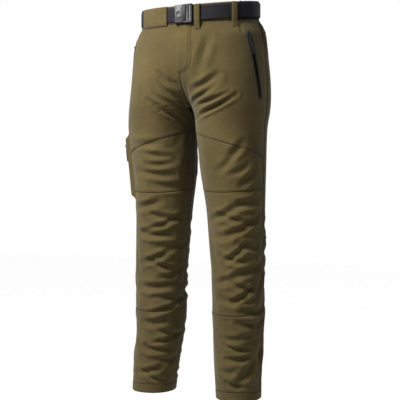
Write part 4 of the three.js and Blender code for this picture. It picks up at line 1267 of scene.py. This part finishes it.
@dataclass
class Pockets:
    """The hand pockets' bags and zip surrounds, and the raised pocket on the right thigh.

    Attributes:
        drape: The cloth that they follow.
        shop: What makes them pieces.
        sewing: What takes their rows of stitches.
        bag_top: Height of a bag's upper edge.
        bag_depth: How deep a bag is.
        bag_turns: Degrees round the half of its front edge, at the foot and the top, and its back edge.
        bag_behind: How far behind the cloth it hangs.
        zip_top: Share of the way round the half and height of a hand pocket zip's upper end.
        zip_bottom: The same of its lower end.
        slot_half: Half width of a zip's opening.
        cover_u: Shares of the way round the half of the thigh pocket's front and back edges.
        cover_z: Heights of its upper and lower edges.
        cover_rise: How far it stands off the leg.
        cover_rim: Width of its sloping rim, as a share of its width and height.
        cover_zip: Share of the way round the half of its zip.
    """

    drape: Drape
    shop: Workshop
    sewing: Stitching
    bag_top: float = -54.0
    bag_depth: float = 235.0
    bag_turns: tuple = (34.0, 52.0, 81.5)
    bag_behind: float = 10.5
    zip_top: tuple = (71 / 180, -66.0)
    zip_bottom: tuple = (76.5 / 180, -238.0)
    slot_half: float = 5.2
    cover_u: tuple = (70 / 180, 112 / 180)
    cover_z: tuple = (-322.0, -504.0)
    cover_rise: float = 11.0
    cover_rim: float = 0.09
    cover_zip: float = 77 / 180

    def track(self, side: Side, t: np.ndarray) -> tuple:
        """Where the cloth crosses the straight line of a hand pocket's zip.

        Args:
            side: Which pocket.
            t: Shares of the way down the zip.

        Returns:
            Places round the half, and heights.
        """
        (u0, z0), (u1, z1) = self.zip_top, self.zip_bottom
        z = z0 + (z1 - z0) * np.asarray(t, float)
        top, low = self.drape.at(side, u0, z0), self.drape.at(side, u1, z1)
        middle = (side, (u0 + u1) / 2, (z0 + z1) / 2)
        across = np.cross(low - top, self.drape.at(*middle, 1.0) - self.drape.at(*middle))
        u = np.linspace(u0 - 0.06, u1 + 0.06, 900)
        off = np.abs((self.drape.at(side, u[None, :], z.reshape(-1, 1)) - top) @ across)
        return u[off.argmin(axis=1)].reshape(z.shape), z

    def slot(self, side: Side) -> ZipSlot:
        """The hand pocket zip's opening in a front panel."""
        half = (self.slot_half + 0.5) / float(self.drape.round_at(side, -140))
        places, heights = self.track(side, np.linspace(-0.01, 1.02, 80))
        return ZipSlot(heights, places, half)

    def build(self) -> None:
        """Makes the bags, the zip surrounds and the thigh pocket."""
        for side in Side:
            self.bag(side)
            self.surround(side)
        self.cover()

    def bag(self, side: Side) -> None:
        """A lining pouch behind the front panel."""
        node = f"{side.word}_hand_pocket_bag"
        s, t = np.meshgrid(np.linspace(0, 1, 40), np.linspace(0, 1, 72))
        z = self.bag_top - self.bag_depth * t
        wide_from, narrow_from, back = self.bag_turns
        near = narrow_from + (wide_from - narrow_from) * smooth_step(t)
        u = (near + (back - near) * s) / 180
        outer = self.drape.at(side, u, z, -self.bag_behind)
        inner = self.drape.at(side, u, z, -self.bag_behind - 2)
        wide = float(np.linalg.norm(np.diff(outer, axis=1), axis=-1).sum(1).mean())
        uv = np.stack([s * wide, z], -1) * MM
        piece = self.shop.link(node + "_cloth", self.shop.shell(node + "_cloth", outer, inner, uv),
                               self.shop.wardrobe.lining, "lining")
        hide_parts(node)

    def surround(self, side: Side) -> None:
        """A dark bonded patch at the top of a hand pocket's zip, and stitches and welts beside the zip."""
        girth = float(self.drape.round_at(side, -60))
        turn = np.linspace(0, 2 * np.pi, 40, endpoint=False)
        ring = np.linspace(1, 0.0, 7)[:, None]
        u = self.zip_top[0] + 7.0 / girth * ring * np.cos(turn)
        z = self.zip_top[1] + 1 + 10.5 * ring * np.sin(turn)
        lift = 0.3 + 0.5 * smooth_step((1 - ring) / 0.25) + 0 * u
        outer, inner = self.drape.at(side, u, z, lift), self.drape.at(side, u, z, lift - 0.45)
        uv = np.stack([u * girth, z], -1) * MM
        mesh = self.shop.shell(f"{side.word}_zip_patch", outer, inner, uv, closed=True)
        self.shop.link(f"{side.word}_zip_patch", mesh, self.shop.wardrobe.moulded, "moulded")
        middle, along = self.track(side, np.linspace(-0.02, 1.04, 120))
        for sign in (-1, 1):
            for away in (7.2, 12.5):
                u = middle + sign * away / girth
                self.sewing.run("pocket_stitches", self.drape.at(side, u, along, 0.12))
            strip, down = np.meshgrid(np.linspace(0, 1, 5), np.linspace(0.0, 1.01, 90))
            places, z = self.track(side, down)
            u = places + sign * (5.8 + 2.4 * strip) / girth
            lift = 0.25 + 0.4 * np.sin(np.pi * np.clip(strip, 0.04, 0.96))
            name = f"{side.word}_zip_welt_{'inner' if sign < 0 else 'outer'}"
            grids = (self.drape.at(side, u, z, lift), self.drape.at(side, u, z, lift - 0.4))
            mesh = self.shop.shell(name, *grids, np.stack([strip * 2.4, z], -1) * MM)
            self.shop.link(name, mesh, self.shop.wardrobe.rubber, "moulded")

    def rise(self, s: np.ndarray, t: np.ndarray) -> np.ndarray:
        """How far the thigh pocket's cover stands off the leg."""
        def ease(share: np.ndarray) -> np.ndarray:
            """0 on the edges and 1 inside the rim."""
            return smooth_step(np.minimum(share, 1 - share) / self.cover_rim)

        return 0.6 + (self.cover_rise - 0.6) * ease(s) * ease(t)

    def cover(self) -> None:
        """The thigh pocket's raised cover with its zip opening."""
        node = "cargo_pocket"
        side = Side.RIGHT
        wide = (self.cover_u[1] - self.cover_u[0]) * float(self.drape.round_at(side, -410))
        tall = self.cover_z[0] - self.cover_z[1]
        cols, rows = 56, 74
        share = (self.cover_zip - self.cover_u[0]) / (self.cover_u[1] - self.cover_u[0])
        half = self.slot_half / wide
        low, high = 8, 12
        s_line = np.interp(np.arange(cols + 1), [0, low, high, cols], [0, share - half, share + half, 1])
        s, t = np.meshgrid(s_line, np.linspace(0, 1, rows + 1))
        u = self.cover_u[0] + (self.cover_u[1] - self.cover_u[0]) * s
        z = self.cover_z[0] - tall * t
        lift = self.rise(s, t)
        ridge = np.minimum.reduce([s * wide, (1 - s) * wide, t * tall, (1 - t) * tall])
        lift = lift - 0.5 * np.exp(-(((ridge - 6.5) / 1.4) ** 2))
        keep = np.ones((rows, cols), bool)
        tc = (t[1:, :-1] + t[:-1, :-1]) / 2
        keep[:, low:high] = ~((tc > 0.13) & (tc < 0.87))[:, low:high]
        outer, inner = self.drape.at(side, u, z, lift), self.drape.at(side, u, z, lift - 1.1)
        uv = np.stack([s * wide, z], -1) * MM
        piece = self.shop.link(node + "_cloth", self.shop.shell(node + "_cloth", outer, inner, uv, keep),
                               self.shop.wardrobe.shell, "shell_cloth")
        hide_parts(node)
        k = np.linspace(0, 1, 60)
        for away in (2.6, 8.6):
            a, b = away / wide, away / tall
            for su, tv in ((a + 0 * k, b + (1 - 2 * b) * k), (1 - a + 0 * k, b + (1 - 2 * b) * k),
                           (a + (1 - 2 * a) * k, b + 0 * k), (a + (1 - 2 * a) * k, 1 - b + 0 * k)):
                uu = self.cover_u[0] + (self.cover_u[1] - self.cover_u[0]) * su
                line = self.drape.at(side, uu, self.cover_z[0] - tall * tv, self.rise(su, tv) + 0.1)
                self.sewing.run("pocket_stitches", line)


@dataclass
class Fly:
    """The placket over the front zip and the shield behind it.

    Attributes:
        drape: The cloth that they follow.
        shop: What makes them pieces.
        sewing: What takes their rows of stitches.
        width: How far the placket reaches from the middle seam.
        lap: How far it laps over to the other side.
        top: Height of its upper end.
        foot: Height of its lower end.
        curve: Height of the curve that its edge ends in.
        rounded_share: Its area as a share of the rectangle it is cut from; not used.
        shield_top: Height of the shield's upper end.
        shield_foot: Height of its lower end.
        shield_from: Distance of its near edge from the middle seam.
        shield_width: Its width.
    """

    drape: Drape
    shop: Workshop
    sewing: Stitching
    width: float = 38.0
    lap: float = 6.0
    top: float = -25.6
    foot: float = -172.0
    curve: float = 44.0
    rounded_share: float = 0.92
    shield_top: float = 20.0
    shield_foot: float = -166.0
    shield_from: float = -17.0
    shield_width: float = 43.0

    def front(self, x: np.ndarray, z: np.ndarray, offset: np.ndarray | float) -> np.ndarray:
        """Points of the front, by distance from the middle seam."""
        x, z, offset = np.broadcast_arrays(*(np.asarray(a, float) for a in (x, z, offset)))
        left = self.drape.at(Side.LEFT, np.abs(x) / self.drape.round_at(Side.LEFT, z), z, offset)
        right = self.drape.at(Side.RIGHT, np.abs(x) / self.drape.round_at(Side.RIGHT, z), z, offset)
        return np.where((x >= 0)[..., None], left, right)

    def outer_edge(self, z: np.ndarray) -> np.ndarray:
        """Distance of the placket's curved edge from the middle."""
        below = np.clip((self.foot + self.curve - z) / self.curve, 0, 1)
        return self.width * np.sqrt(1 - 0.97 * below**2)

    def build(self) -> None:
        """Makes the placket, the shield and the curved rows of stitches."""
        s, t = np.meshgrid(np.linspace(0, 1, 30), np.linspace(0, 1, 60))
        z = self.top + (self.foot - self.top) * t
        edge = self.outer_edge(z)
        x = -self.lap + (edge + self.lap) * s
        raised = 1 - smooth_step((x - edge + 13) / 11)
        lift = 0.25 + 1.75 * raised * smooth_step((x + self.lap + 0.6) / 1.2)
        lift = lift * smooth_step((z - self.foot + 2) / 14) + 0.1
        outer, inner = self.front(x, z, lift), self.front(x, z, np.maximum(lift - 1.1, -0.6))
        uv = np.stack([x, z], -1) * MM
        mesh = self.shop.shell("fly_placket_cloth", outer, inner, uv)
        piece = self.shop.link("fly_placket_cloth", mesh, self.shop.wardrobe.shell, "shell_cloth")
        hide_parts("fly_placket")
        line = np.linspace(self.top - 3, self.foot + 1, 110)
        for away in (2.0, 8.5):
            x = self.outer_edge(line + away * 0.6) - away
            self.sewing.run("fly_stitches", self.front(x, line, 0.6))
        self.sewing.run("fly_stitches", self.front(-self.lap + 2.4 + 0 * line, line, 2.0)[:80])
        self.shield()

    def shield(self) -> None:
        """The strip of lining behind the zip."""
        s, t = np.meshgrid(np.linspace(0, 1, 14), np.linspace(0, 1, 50))
        z = self.shield_top + (self.shield_foot - self.shield_top) * t
        depth = 12.5 + 5.5 * smooth_step((self.drape.top - z) / 20)
        x = self.shield_from + self.shield_width * s
        zc = np.clip(z, None, self.drape.top)
        shift = np.stack([0 * z, 0 * z, z - zc], -1)
        outer, inner = self.front(x, zc, -depth) + shift, self.front(x, zc, -depth - 1.5) + shift
        uv = np.stack([x, z], -1) * MM
        mesh = self.shop.shell("fly_shield_cloth", outer, inner, uv)
        piece = self.shop.link("fly_shield_cloth", mesh, self.shop.wardrobe.lining, "lining")
        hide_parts("fly_shield")


# ---------------------------------------------------------------- waistband and loops


@dataclass
class Waistband:
    """The waistband's cloth parts and its two gathered elastic parts."""

    form: Form
    shop: Workshop
    sewing: Stitching
    height: float = 48.0
    thick: float = 2.0
    fly_edge: float = -3.5
    elastic_from: float = 64.0
    elastic_to: float = 118.0
    fullness: float = 1.2
    row: float = 20.6

    def build(self) -> None:
        """Makes the five parts."""
        a, b, f = self.elastic_from, self.elastic_to, self.fly_edge
        for name, start, end, gathered in (
            ("waistband_left_front", f, a, False), ("waistband_right_front", -a, f, False),
            ("waistband_left_elastic", a, b, True), ("waistband_right_elastic", -b, -a, True),
            ("waistband_back", b, 360 - b, False),
        ):
            self.part(name, start, end, gathered)

    def part(self, name: str, start: float, end: float, gathered: bool) -> None:
        """One part between two angles."""
        cols, rows = int((end - start) * (2.4 if gathered else 1.1)), 26
        s, t = np.meshgrid(np.linspace(0, 1, cols + 1), np.linspace(0, 1, rows + 1))
        degrees = start + 0.08 + (end - start - 0.16) * s
        z = self.height / 2 - self.height * t
        rim = np.minimum(t, 1 - t) * self.height
        lift = -0.5 * (1 - smooth_step(rim / 1.2))
        if gathered:
            phase = degrees * 1.9 + 1.1 * np.sin(degrees * 0.43) + 0.5 * np.sin(t * 9 + degrees * 0.21)
            ripple = np.sin(phase) * (0.55 + 0.45 * np.sin(degrees * 0.77 + 1))
            wave = 0.5 + 0.5 * np.cos(t * 2 * np.pi * 4)
            lift = lift + 1.0 * ripple - 0.55 * wave
            z = z + 1.3 * ripple * (1 - t) ** 3 - 1.0 * ripple * t**3
        else:
            lift = lift - 0.35 * np.exp(-(((rim - 3.4) / 1.1) ** 2))
        outer = self.form.waist(degrees, z, lift)
        inner = self.form.waist(degrees, z, -self.thick + 0.4 * lift * gathered)
        wide = float(np.linalg.norm(np.diff(outer[10], axis=0), axis=-1).sum())
        uv = np.stack([s * wide, z], -1) * MM
        wardrobe = self.shop.wardrobe
        # The gathered parts take the near-black elastic finish, whose colour is partly painted shade on
        # the waist's sides.
        finish, slot = (wardrobe.elastic, "elastic") if gathered else (wardrobe.shell, "shell_cloth")
        mesh = self.shop.shell(name + "_cloth", outer, inner, uv)
        piece = self.shop.link(name + "_cloth", mesh, finish, slot)
        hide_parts(name)
        if not gathered:
            line = np.linspace(start + 0.5, end - 0.5, cols * 2)
            for height in (self.row, -self.row):
                self.sewing.run("waistband_stitches", self.form.waist(line, height, 0.15))


@dataclass
class BeltLoops:
    """Strips that hold the belt, each tacked above and below the waistband."""

    form: Form
    shop: Workshop
    sewing: Stitching
    width: float = 14.0
    thick: float = 1.4
    stand: float = 7.9
    places: tuple = (
        ("belt_loop_left_front", 22.0, 0.0), ("belt_loop_left_hip", 60.0, 0.0),
        ("belt_loop_left_back", 132.0, -2.5), ("belt_loop_back_centre", 180.0, -2.5),
        ("belt_loop_right_back", 228.0, -2.5),
    )

    def build(self) -> None:
        """Makes the loops and the wide loop at the right front."""
        for name, degrees, lower in self.places:
            stand = self.stand + lower
            track = (
                (23.4, 1.0), (22.8, 3.0), (21.0, stand - 0.6), (17, stand), (0, stand + 0.3),
                (-17, stand), (-24, stand - 0.6), (-33, 4.2), (-37.5, 2.1), (-41, 1.3),
            )
            radius = float(np.hypot(*self.form.waist(degrees, 0.0, 0.0)[:2]))
            half = self.width / 2 / radius * 180 / np.pi
            self.strip(name, degrees - half, degrees + half, track, 12)
            self.tack(degrees, half * 0.8)
        wide = ((23.6, 1.0), (23.0, 2.6), (21.2, 4.1), (0, 4.3), (-19, 4.1), (-23.4, 3.3), (-26.8, 1.3))
        self.strip("belt_tunnel_right_front", -58, -19, wide, 60)
        down = np.linspace(20, -20, 40)
        for degrees in (-57.2, -19.8):
            self.sewing.run("waistband_stitches", self.form.waist(degrees, down, 4.95))

    def strip(self, name: str, start: float, end: float, track: tuple, cols: int) -> None:
        """A strip of folded cloth that follows a track of (height, distance off the waistband)."""
        line = smooth_track(np.array(track, float), 44)
        step = np.gradient(line, axis=0)
        normal = np.stack([step[:, 1], -step[:, 0]], -1)
        normal /= np.linalg.norm(normal, axis=1, keepdims=True)
        s, t = np.meshgrid(np.linspace(0, 1, cols + 1), np.arange(len(line)))
        degrees = start + (end - start) * s
        edge = 1 - smooth_step(np.minimum(s, 1 - s) * cols / 1.6)
        crown = 0.35 * np.sin(np.pi * s)
        grids = []
        for sign in (1, -1):
            away = sign * self.thick / 2 * (1 - 0.55 * edge) + crown - 0.2
            z = line[t, 0] + normal[t, 0] * away
            offset = line[t, 1] + normal[t, 1] * away
            grids.append(self.form.waist(degrees, z, offset))
        run = np.concatenate([[0], np.cumsum(np.linalg.norm(np.diff(line, axis=0), axis=1))])
        uv = np.stack([s * self.width, run[t]], -1) * MM
        mesh = self.shop.shell(name + "_cloth", *grids, uv)
        piece = self.shop.link(name + "_cloth", mesh, self.shop.wardrobe.shell, "shell_cloth")
        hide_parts(name)

    def tack(self, degrees: float, half: float) -> None:
        """Close rows of stitches that fasten a loop's lower end."""
        line = np.linspace(degrees - half, degrees + half, 12)
        for k in range(3):
            row = self.form.waist(line, -38.6 + 1.1 * k, 2.5 + 0.35 * k)
            self.sewing.run("waistband_stitches", row)


# ---------------------------------------------------------------- belt and buckle


@dataclass
class Belt:
    """The webbing, which is sewn round a pin of the buckle and runs round the waist back through it."""

    form: Form
    shop: Workshop
    width: float = 38.0
    thick: float = 1.5
    clear: float = 0.8
    tip: float = 82.0
    buckle_x: float = 10.0
    anchor: tuple = (12.6, 5.6)
    eye: float = 2.1
    buckle_half: float = 25.0

    def __post_init__(self) -> None:
        """Finds the buckle's place on the front of the waist."""
        section = self.form.section(np.array(0.0))

        def front(x: float) -> np.ndarray:
            """A point of the waist's front, seen from above."""
            y = section[2] - self.form.reach(section, np.array(x), section[2], 0.0, -1.0)
            return np.array([x, float(y)])

        along = front(self.buckle_x + 2) - front(self.buckle_x - 2)
        along /= np.linalg.norm(along)
        self.origin, self.along, self.out = front(self.buckle_x), along, np.array([along[1], -along[0]])

    def plan(self, x: float, out: float) -> np.ndarray:
        """A point of the buckle seen from above."""
        return self.origin + self.along * x + self.out * out

    def line(self) -> np.ndarray:
        """The webbing's middle line seen from above."""
        laid = self.clear + self.thick / 2
        over = laid + self.thick + 0.6
        ax, ao = self.anchor
        pts = []
        for k in range(13):
            turn = math.radians(-60 - k * 17.5)
            pts.append(self.plan(ax + self.eye * math.cos(turn), ao + self.eye * math.sin(turn)))
        pts.append(self.plan(ax + 5.6, ao - 0.4))
        pts.append(self.plan(self.buckle_half + 2, 4.6))
        for a in np.arange(20, 344.1, 2):
            offset = laid + (over - laid) * float(np.clip((self.tip + 27 - a) / 12, 0, 1))
            pts.append(self.form.waist(a, 0.0, offset)[:2])
        pts += [self.plan(-self.buckle_half + 2, 2.0), self.plan(-2, 2.35), self.plan(6, 2.35),
                self.plan(9.5, 1.6), self.plan(self.buckle_half - 3, 1.6)]
        pts += [self.form.waist(a, 0.0, laid)[:2] for a in np.linspace(17, self.tip, 26)]
        return np.array(pts)

    def build(self) -> None:
        """Makes the webbing."""
        line = smooth_track(self.line(), 1400)
        step = np.gradient(line, axis=0)
        normal = np.stack([step[:, 1], -step[:, 0]], -1)
        normal /= np.maximum(np.linalg.norm(normal, axis=1, keepdims=True), 1e-9)
        run = np.concatenate([[0], np.cumsum(np.linalg.norm(np.diff(line, axis=0), axis=1))])
        across = np.linspace(1, -1, 17)[:, None]
        edge = 1 - smooth_step((1 - np.abs(across)) / 0.07)
        grids = []
        for sign in (1, -1):
            away = sign * self.thick / 2 * (1 - 0.6 * edge)
            plan = line[None] + normal[None] * away[..., None]
            z = self.width / 2 * across + self.form.tilt * plan[..., 1]
            grids.append(np.concatenate([plan, z[..., None]], -1))
        uv = np.stack([run[None] + 0 * across, self.width / 2 * across + 0 * run[None]], -1) * MM
        mesh = self.shop.shell("belt_webbing_strap", grids[0], grids[1], uv)
        piece = self.shop.link("belt_webbing_strap", mesh, self.shop.wardrobe.webbing, "webbing")
        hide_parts("belt_webbing")


@dataclass
class Hardware:
    """Buckle, zips and snap: rounded shapes of the frame's own nodes, and zip teeth."""

    shop: Workshop
    sewing: Stitching
    slider_inset: float = 9.0
    bar_height: float = 2.0
    teeth_apart: float = 1.1
    teeth_behind: float = 2.1

    def build(self) -> None:
        """Makes every hard piece."""
        wardrobe = self.shop.wardrobe
        for node, finish, slot, width in (
            ("buckle_body", wardrobe.moulded, "moulded", 0.45),
            ("buckle_lever", wardrobe.moulded, "moulded", 0.4),
            ("buckle_badge", wardrobe.badge, "badge", 0.3),
            ("belt_tip", wardrobe.moulded, "moulded", 0.3),
        ):
            self.rounded(node, finish, slot, width)
        for node in FRAME["nodes"]:
            if node.endswith("_slider"):
                self.rounded(node, wardrobe.moulded, "moulded", 0.18)
            elif node.endswith("_pull"):
                self.rounded(node, wardrobe.rubber, "pull_rubber", 0.3)
            elif node.endswith(("_tape_front", "_tape_rear")):
                self.repaint(node, wardrobe.zip_tape)
            elif node in ("buckle_lever_pin", "buckle_bright_bar", "buckle_anchor_pin"):
                self.repaint(node, wardrobe.steel)
            elif node.startswith("waist_snap"):
                self.repaint(node, wardrobe.snap)
        for joint in FRAME["joints"]:
            if joint["name"].endswith("pull_swing"):
                self.teeth(joint)

    def rounded(self, node: str, finish: bpy.types.Material, slot: str, width: float) -> None:
        """Replaces a node by its rounded copy on the same body."""
        body = FRAME["nodes"][node]["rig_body"]
        mesh = self.shop.rounded_copy(node, width)
        piece = self.shop.link(node + "_rounded", mesh, finish, slot, body)
        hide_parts(node)

    def repaint(self, node: str, finish: bpy.types.Material) -> None:
        """Gives a node of the frame its finish."""
        obj = FRAME["nodes"][node]
        for entry in obj.material_slots:
            entry.material = finish

    def teeth(self, swing: dict) -> None:
        """Rows of small teeth along both inner edges of a zip's tapes."""
        name = swing["name"].removesuffix("_pull_swing")
        slide = next(j for j in FRAME["joints"] if j["name"] == name + "_slide")
        up = -Vector(slide["axis"]).normalized()
        side = -Vector(swing["axis"]).normalized()
        out = side.cross(up)
        top = Vector(swing["pos_m"]) + up * self.slider_inset * MM - out * self.bar_height * MM
        low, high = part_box(name + "_tape_front")
        length = (high.z - low.z) / up.z / MM
        k = np.linspace(0, 1, 60)[:, None]
        for sign in (-1, 1):
            a = top + side * sign * self.teeth_apart * MM - out * self.teeth_behind * MM
            line = np.array(a)[None] - np.array(up)[None] * k * (length - 2) * MM
            self.sewing.run(name + "_teeth", line / MM)


# ---------------------------------------------------------------- studio


@dataclass(frozen=True)
class Lamp:
    """One soft square light. Lengths are metres, and the power is in watts."""

    name: str
    place: tuple
    target: tuple
    size: float
    power: float


@dataclass
class Studio:
    """Pale surroundings, soft lights and the camera. Lengths are metres."""

    distance: float = 2.35
    azimuth: float = 25.0
    eye: float = -0.506
    frame_width: float = 1.0989
    floor: float = -3.0
    lamps: tuple = (
        Lamp("key_light", (-0.95, -1.65, 1.3), (0, 0, 0.3), 0.9, 400),
        Lamp("fill_light", (2.4, -1.6, 0.2), (0, 0, -0.5), 2.2, 8),
        Lamp("rim_light", (0.6, 2.6, 1.2), (0, 0, -0.4), 2.0, 30),
    )

    def build(self) -> None:
        """Makes the floor, the lights and the camera."""
        self.backdrop()
        for lamp in self.lamps:
            self.light(lamp)
        world = bpy.data.worlds.new("studio")
        bpy.context.scene.world = world
        world.use_nodes = True
        background = world.node_tree.nodes["Background"]
        background.inputs["Color"].default_value = (1, 1, 1, 1)
        background.inputs["Strength"].default_value = 1.0
        bpy.context.scene.view_settings.view_transform = "Standard"
        self.camera()

    def backdrop(self) -> None:
        """A wide pale floor."""
        mesh = bpy.data.meshes.new("floor")
        r, z = 30.0, self.floor
        mesh.from_pydata([(-r, -r, z), (r, -r, z), (r, r, z), (-r, r, z)], [], [(0, 1, 2, 3)])
        floor = bpy.data.objects.new("floor", mesh)
        bpy.context.scene.collection.objects.link(floor)
        material, _, shader = new_material("pale_floor")
        shader.inputs["Base Color"].default_value = (0.98, 0.98, 0.98, 1)
        shader.inputs["Roughness"].default_value = 0.9
        mesh.materials.append(material)

    def light(self, lamp: Lamp) -> None:
        """Places one light, facing its target."""
        data = bpy.data.lights.new(lamp.name, "AREA")
        data.energy = lamp.power
        data.size = lamp.size
        placed = bpy.data.objects.new(lamp.name, data)
        bpy.context.scene.collection.objects.link(placed)
        placed.location = lamp.place
        towards = Vector(lamp.target) - Vector(lamp.place)
        placed.rotation_euler = towards.to_track_quat("-Z", "Y").to_euler()

    def camera(self) -> None:
        """The camera, level and a little under half way down the legs."""
        lens = bpy.data.cameras.new("camera")
        lens.sensor_width = 36
        lens.lens = 36 * self.distance / self.frame_width
        camera = bpy.data.objects.new("camera", lens)
        bpy.context.scene.collection.objects.link(camera)
        turn = math.radians(self.azimuth)
        camera.location = (self.distance * math.sin(turn), -self.distance * math.cos(turn), self.eye)
        camera.rotation_euler = (math.radians(90), 0, turn)
        bpy.context.scene.camera = camera


@dataclass(frozen=True)
class FoldFamily:
    """Folds that lie one after another on the cloth, alike but none the same.

    Places are degrees round the half and height. The swings follow the turns of a sunflower's
    seeds, so that neighbours never match.

    Attributes:
        sides: Which halves of the garment.
        first: Middle of the first fold.
        last: Middle of the last fold.
        count: How many folds there are.
        reach: From a fold's inner end to its outer end.
        sway: How far the middles swing to either side.
        swing: How far the outer ends swing up and down.
        width: Half width of the valleys.
        depth: Depth of the valleys.
        sag: How far a fold's middle hangs below its ends.
    """

    sides: tuple
    first: tuple
    last: tuple
    count: int
    reach: tuple
    sway: tuple
    swing: float
    width: float
    depth: float
    sag: float = 5.0

    def folds(self) -> list:
        """The family's folds."""
        made = []
        golden = math.pi * (3 - math.sqrt(5))
        for side in self.sides:
            for k in range(self.count):
                turn = golden * (k + (0.0 if side is Side.LEFT else 2.5))
                share = k / max(self.count - 1, 1)
                middle = np.array(self.first) * (1 - share) + np.array(self.last) * share
                middle = middle + np.array(self.sway) * (math.cos(turn), math.sin(2 * turn))
                half = np.array(self.reach) / 2 * (1 + 0.2 * math.sin(3 * turn))
                half = half + (0.0, self.swing * math.sin(turn))
                line = (middle - half, middle - (0.0, self.sag), middle + half)
                made.append(Fold(side, line, self.width * (1 + 0.15 * math.cos(2 * turn)),
                                 self.depth * (1 + 0.25 * math.sin(turn + 1))))
        return made


LEFT, RIGHT, BOTH = (Side.LEFT,), (Side.RIGHT,), (Side.LEFT, Side.RIGHT)
FOLD_FAMILIES = (
    # Fanned out from the fork, and one beside the fly.
    FoldFamily(LEFT, (20, -200), (35, -265), 4, (25, 35), (4, 4), 8, 7, 4.5),
    FoldFamily(RIGHT, (10, -185), (20, -275), 4, (18, 45), (3, 4), 8, 7, 4.0),
    FoldFamily(LEFT, (25, -120), (25, -120), 1, (16, 110), (0, 0), 0, 10, 3.0),
    # Across the thigh above the knee seam.
    FoldFamily(LEFT, (52, -375), (66, -450), 4, (14, 35), (6, 4), 6, 8, 3.0),
    FoldFamily(RIGHT, (42, -350), (34, -465), 5, (28, 5), (5, 4), 8, 8, 3.5),
    # Crossing one another over the shaped knee.
    FoldFamily(LEFT, (55, -510), (60, -795), 14, (30, 15), (14, 5), 18, 8, 5.0),
    FoldFamily(RIGHT, (40, -515), (24, -795), 11, (36, -8), (12, 5), 16, 8, 5.0),
    # Stacked on the shin.
    FoldFamily(LEFT, (62, -830), (48, -992), 6, (30, 0), (8, 5), 8, 7, 4.5),
    FoldFamily(LEFT, (70, -950), (70, -950), 1, (34, 95), (0, 0), 0, 9, 5.0),
    FoldFamily(RIGHT, (28, -835), (32, -995), 7, (34, 0), (12, 4), 12, 8, 4.8),
    # Gathered below the elastic.
    FoldFamily(BOTH, (88, -70), (114, -60), 4, (-4, 75), (1, 6), 12, 4, 3.3, 0.0),
    FoldFamily(BOTH, (65, -44), (65, -44), 1, (0, 32), (0, 0), 0, 4, 2.5, 0.0),
    # Under the seat, behind the knee and behind the shin.
    FoldFamily(BOTH, (148, -255), (148, -320), 2, (-48, -45), (3, 3), 5, 10, 4.3),
    FoldFamily(BOTH, (140, -425), (130, -425), 1, (-45, -60), (3, 5), 0, 10, 3.8),
    FoldFamily(BOTH, (135, -570), (138, -760), 4, (62, 0), (5, 5), 8, 9, 5.0, 10.0),
    FoldFamily(BOTH, (140, -850), (148, -988), 3, (52, 0), (5, 5), 8, 8, 4.0, 6.0),
    # Round the outside of the leg.
    FoldFamily(BOTH, (90, -600), (84, -940), 4, (14, 55), (5, 8), 12, 9, 4.0, 0.0),
)


def laid_folds() -> tuple:
    """The folds of every family."""
    return tuple(fold for family in FOLD_FAMILIES for fold in family.folds())


def main() -> None:
    """Builds the trousers and their surroundings."""
    logging.basicConfig(level=logging.INFO, format="%(name)s: %(message)s")
    FRAME.update(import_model())
    shop = Workshop(Wardrobe())
    form = Form()
    drape = Drape(form, still=(
        Still(None, (71, -50), (76.5, -250), 12, 16),
        Still(Side.RIGHT, (77, -318), (77, -508), 12, 16),
        Still(None, (0, -20), (0, -176), 12, 18),
    ))
    drape.press(laid_folds())
    Crumple(drape).run()
    sewing = Stitching()
    seams = Seams()
    pockets = Pockets(drape, shop, sewing)
    slots = {f"{side.word}_front_panel": pockets.slot(side) for side in Side}
    panels = Panels(drape, seams, shop, sewing)
    panels.build(slots)
    panels.allowances()
    pockets.build()
    Fly(drape, shop, sewing).build()
    Waistband(form, shop, sewing).build()
    BeltLoops(form, shop, sewing).build()
    Belt(form, shop).build()
    Hardware(shop, sewing).build()
    sewing.sew(shop)
    Studio().build()


if __name__ == "__main__":
    main()
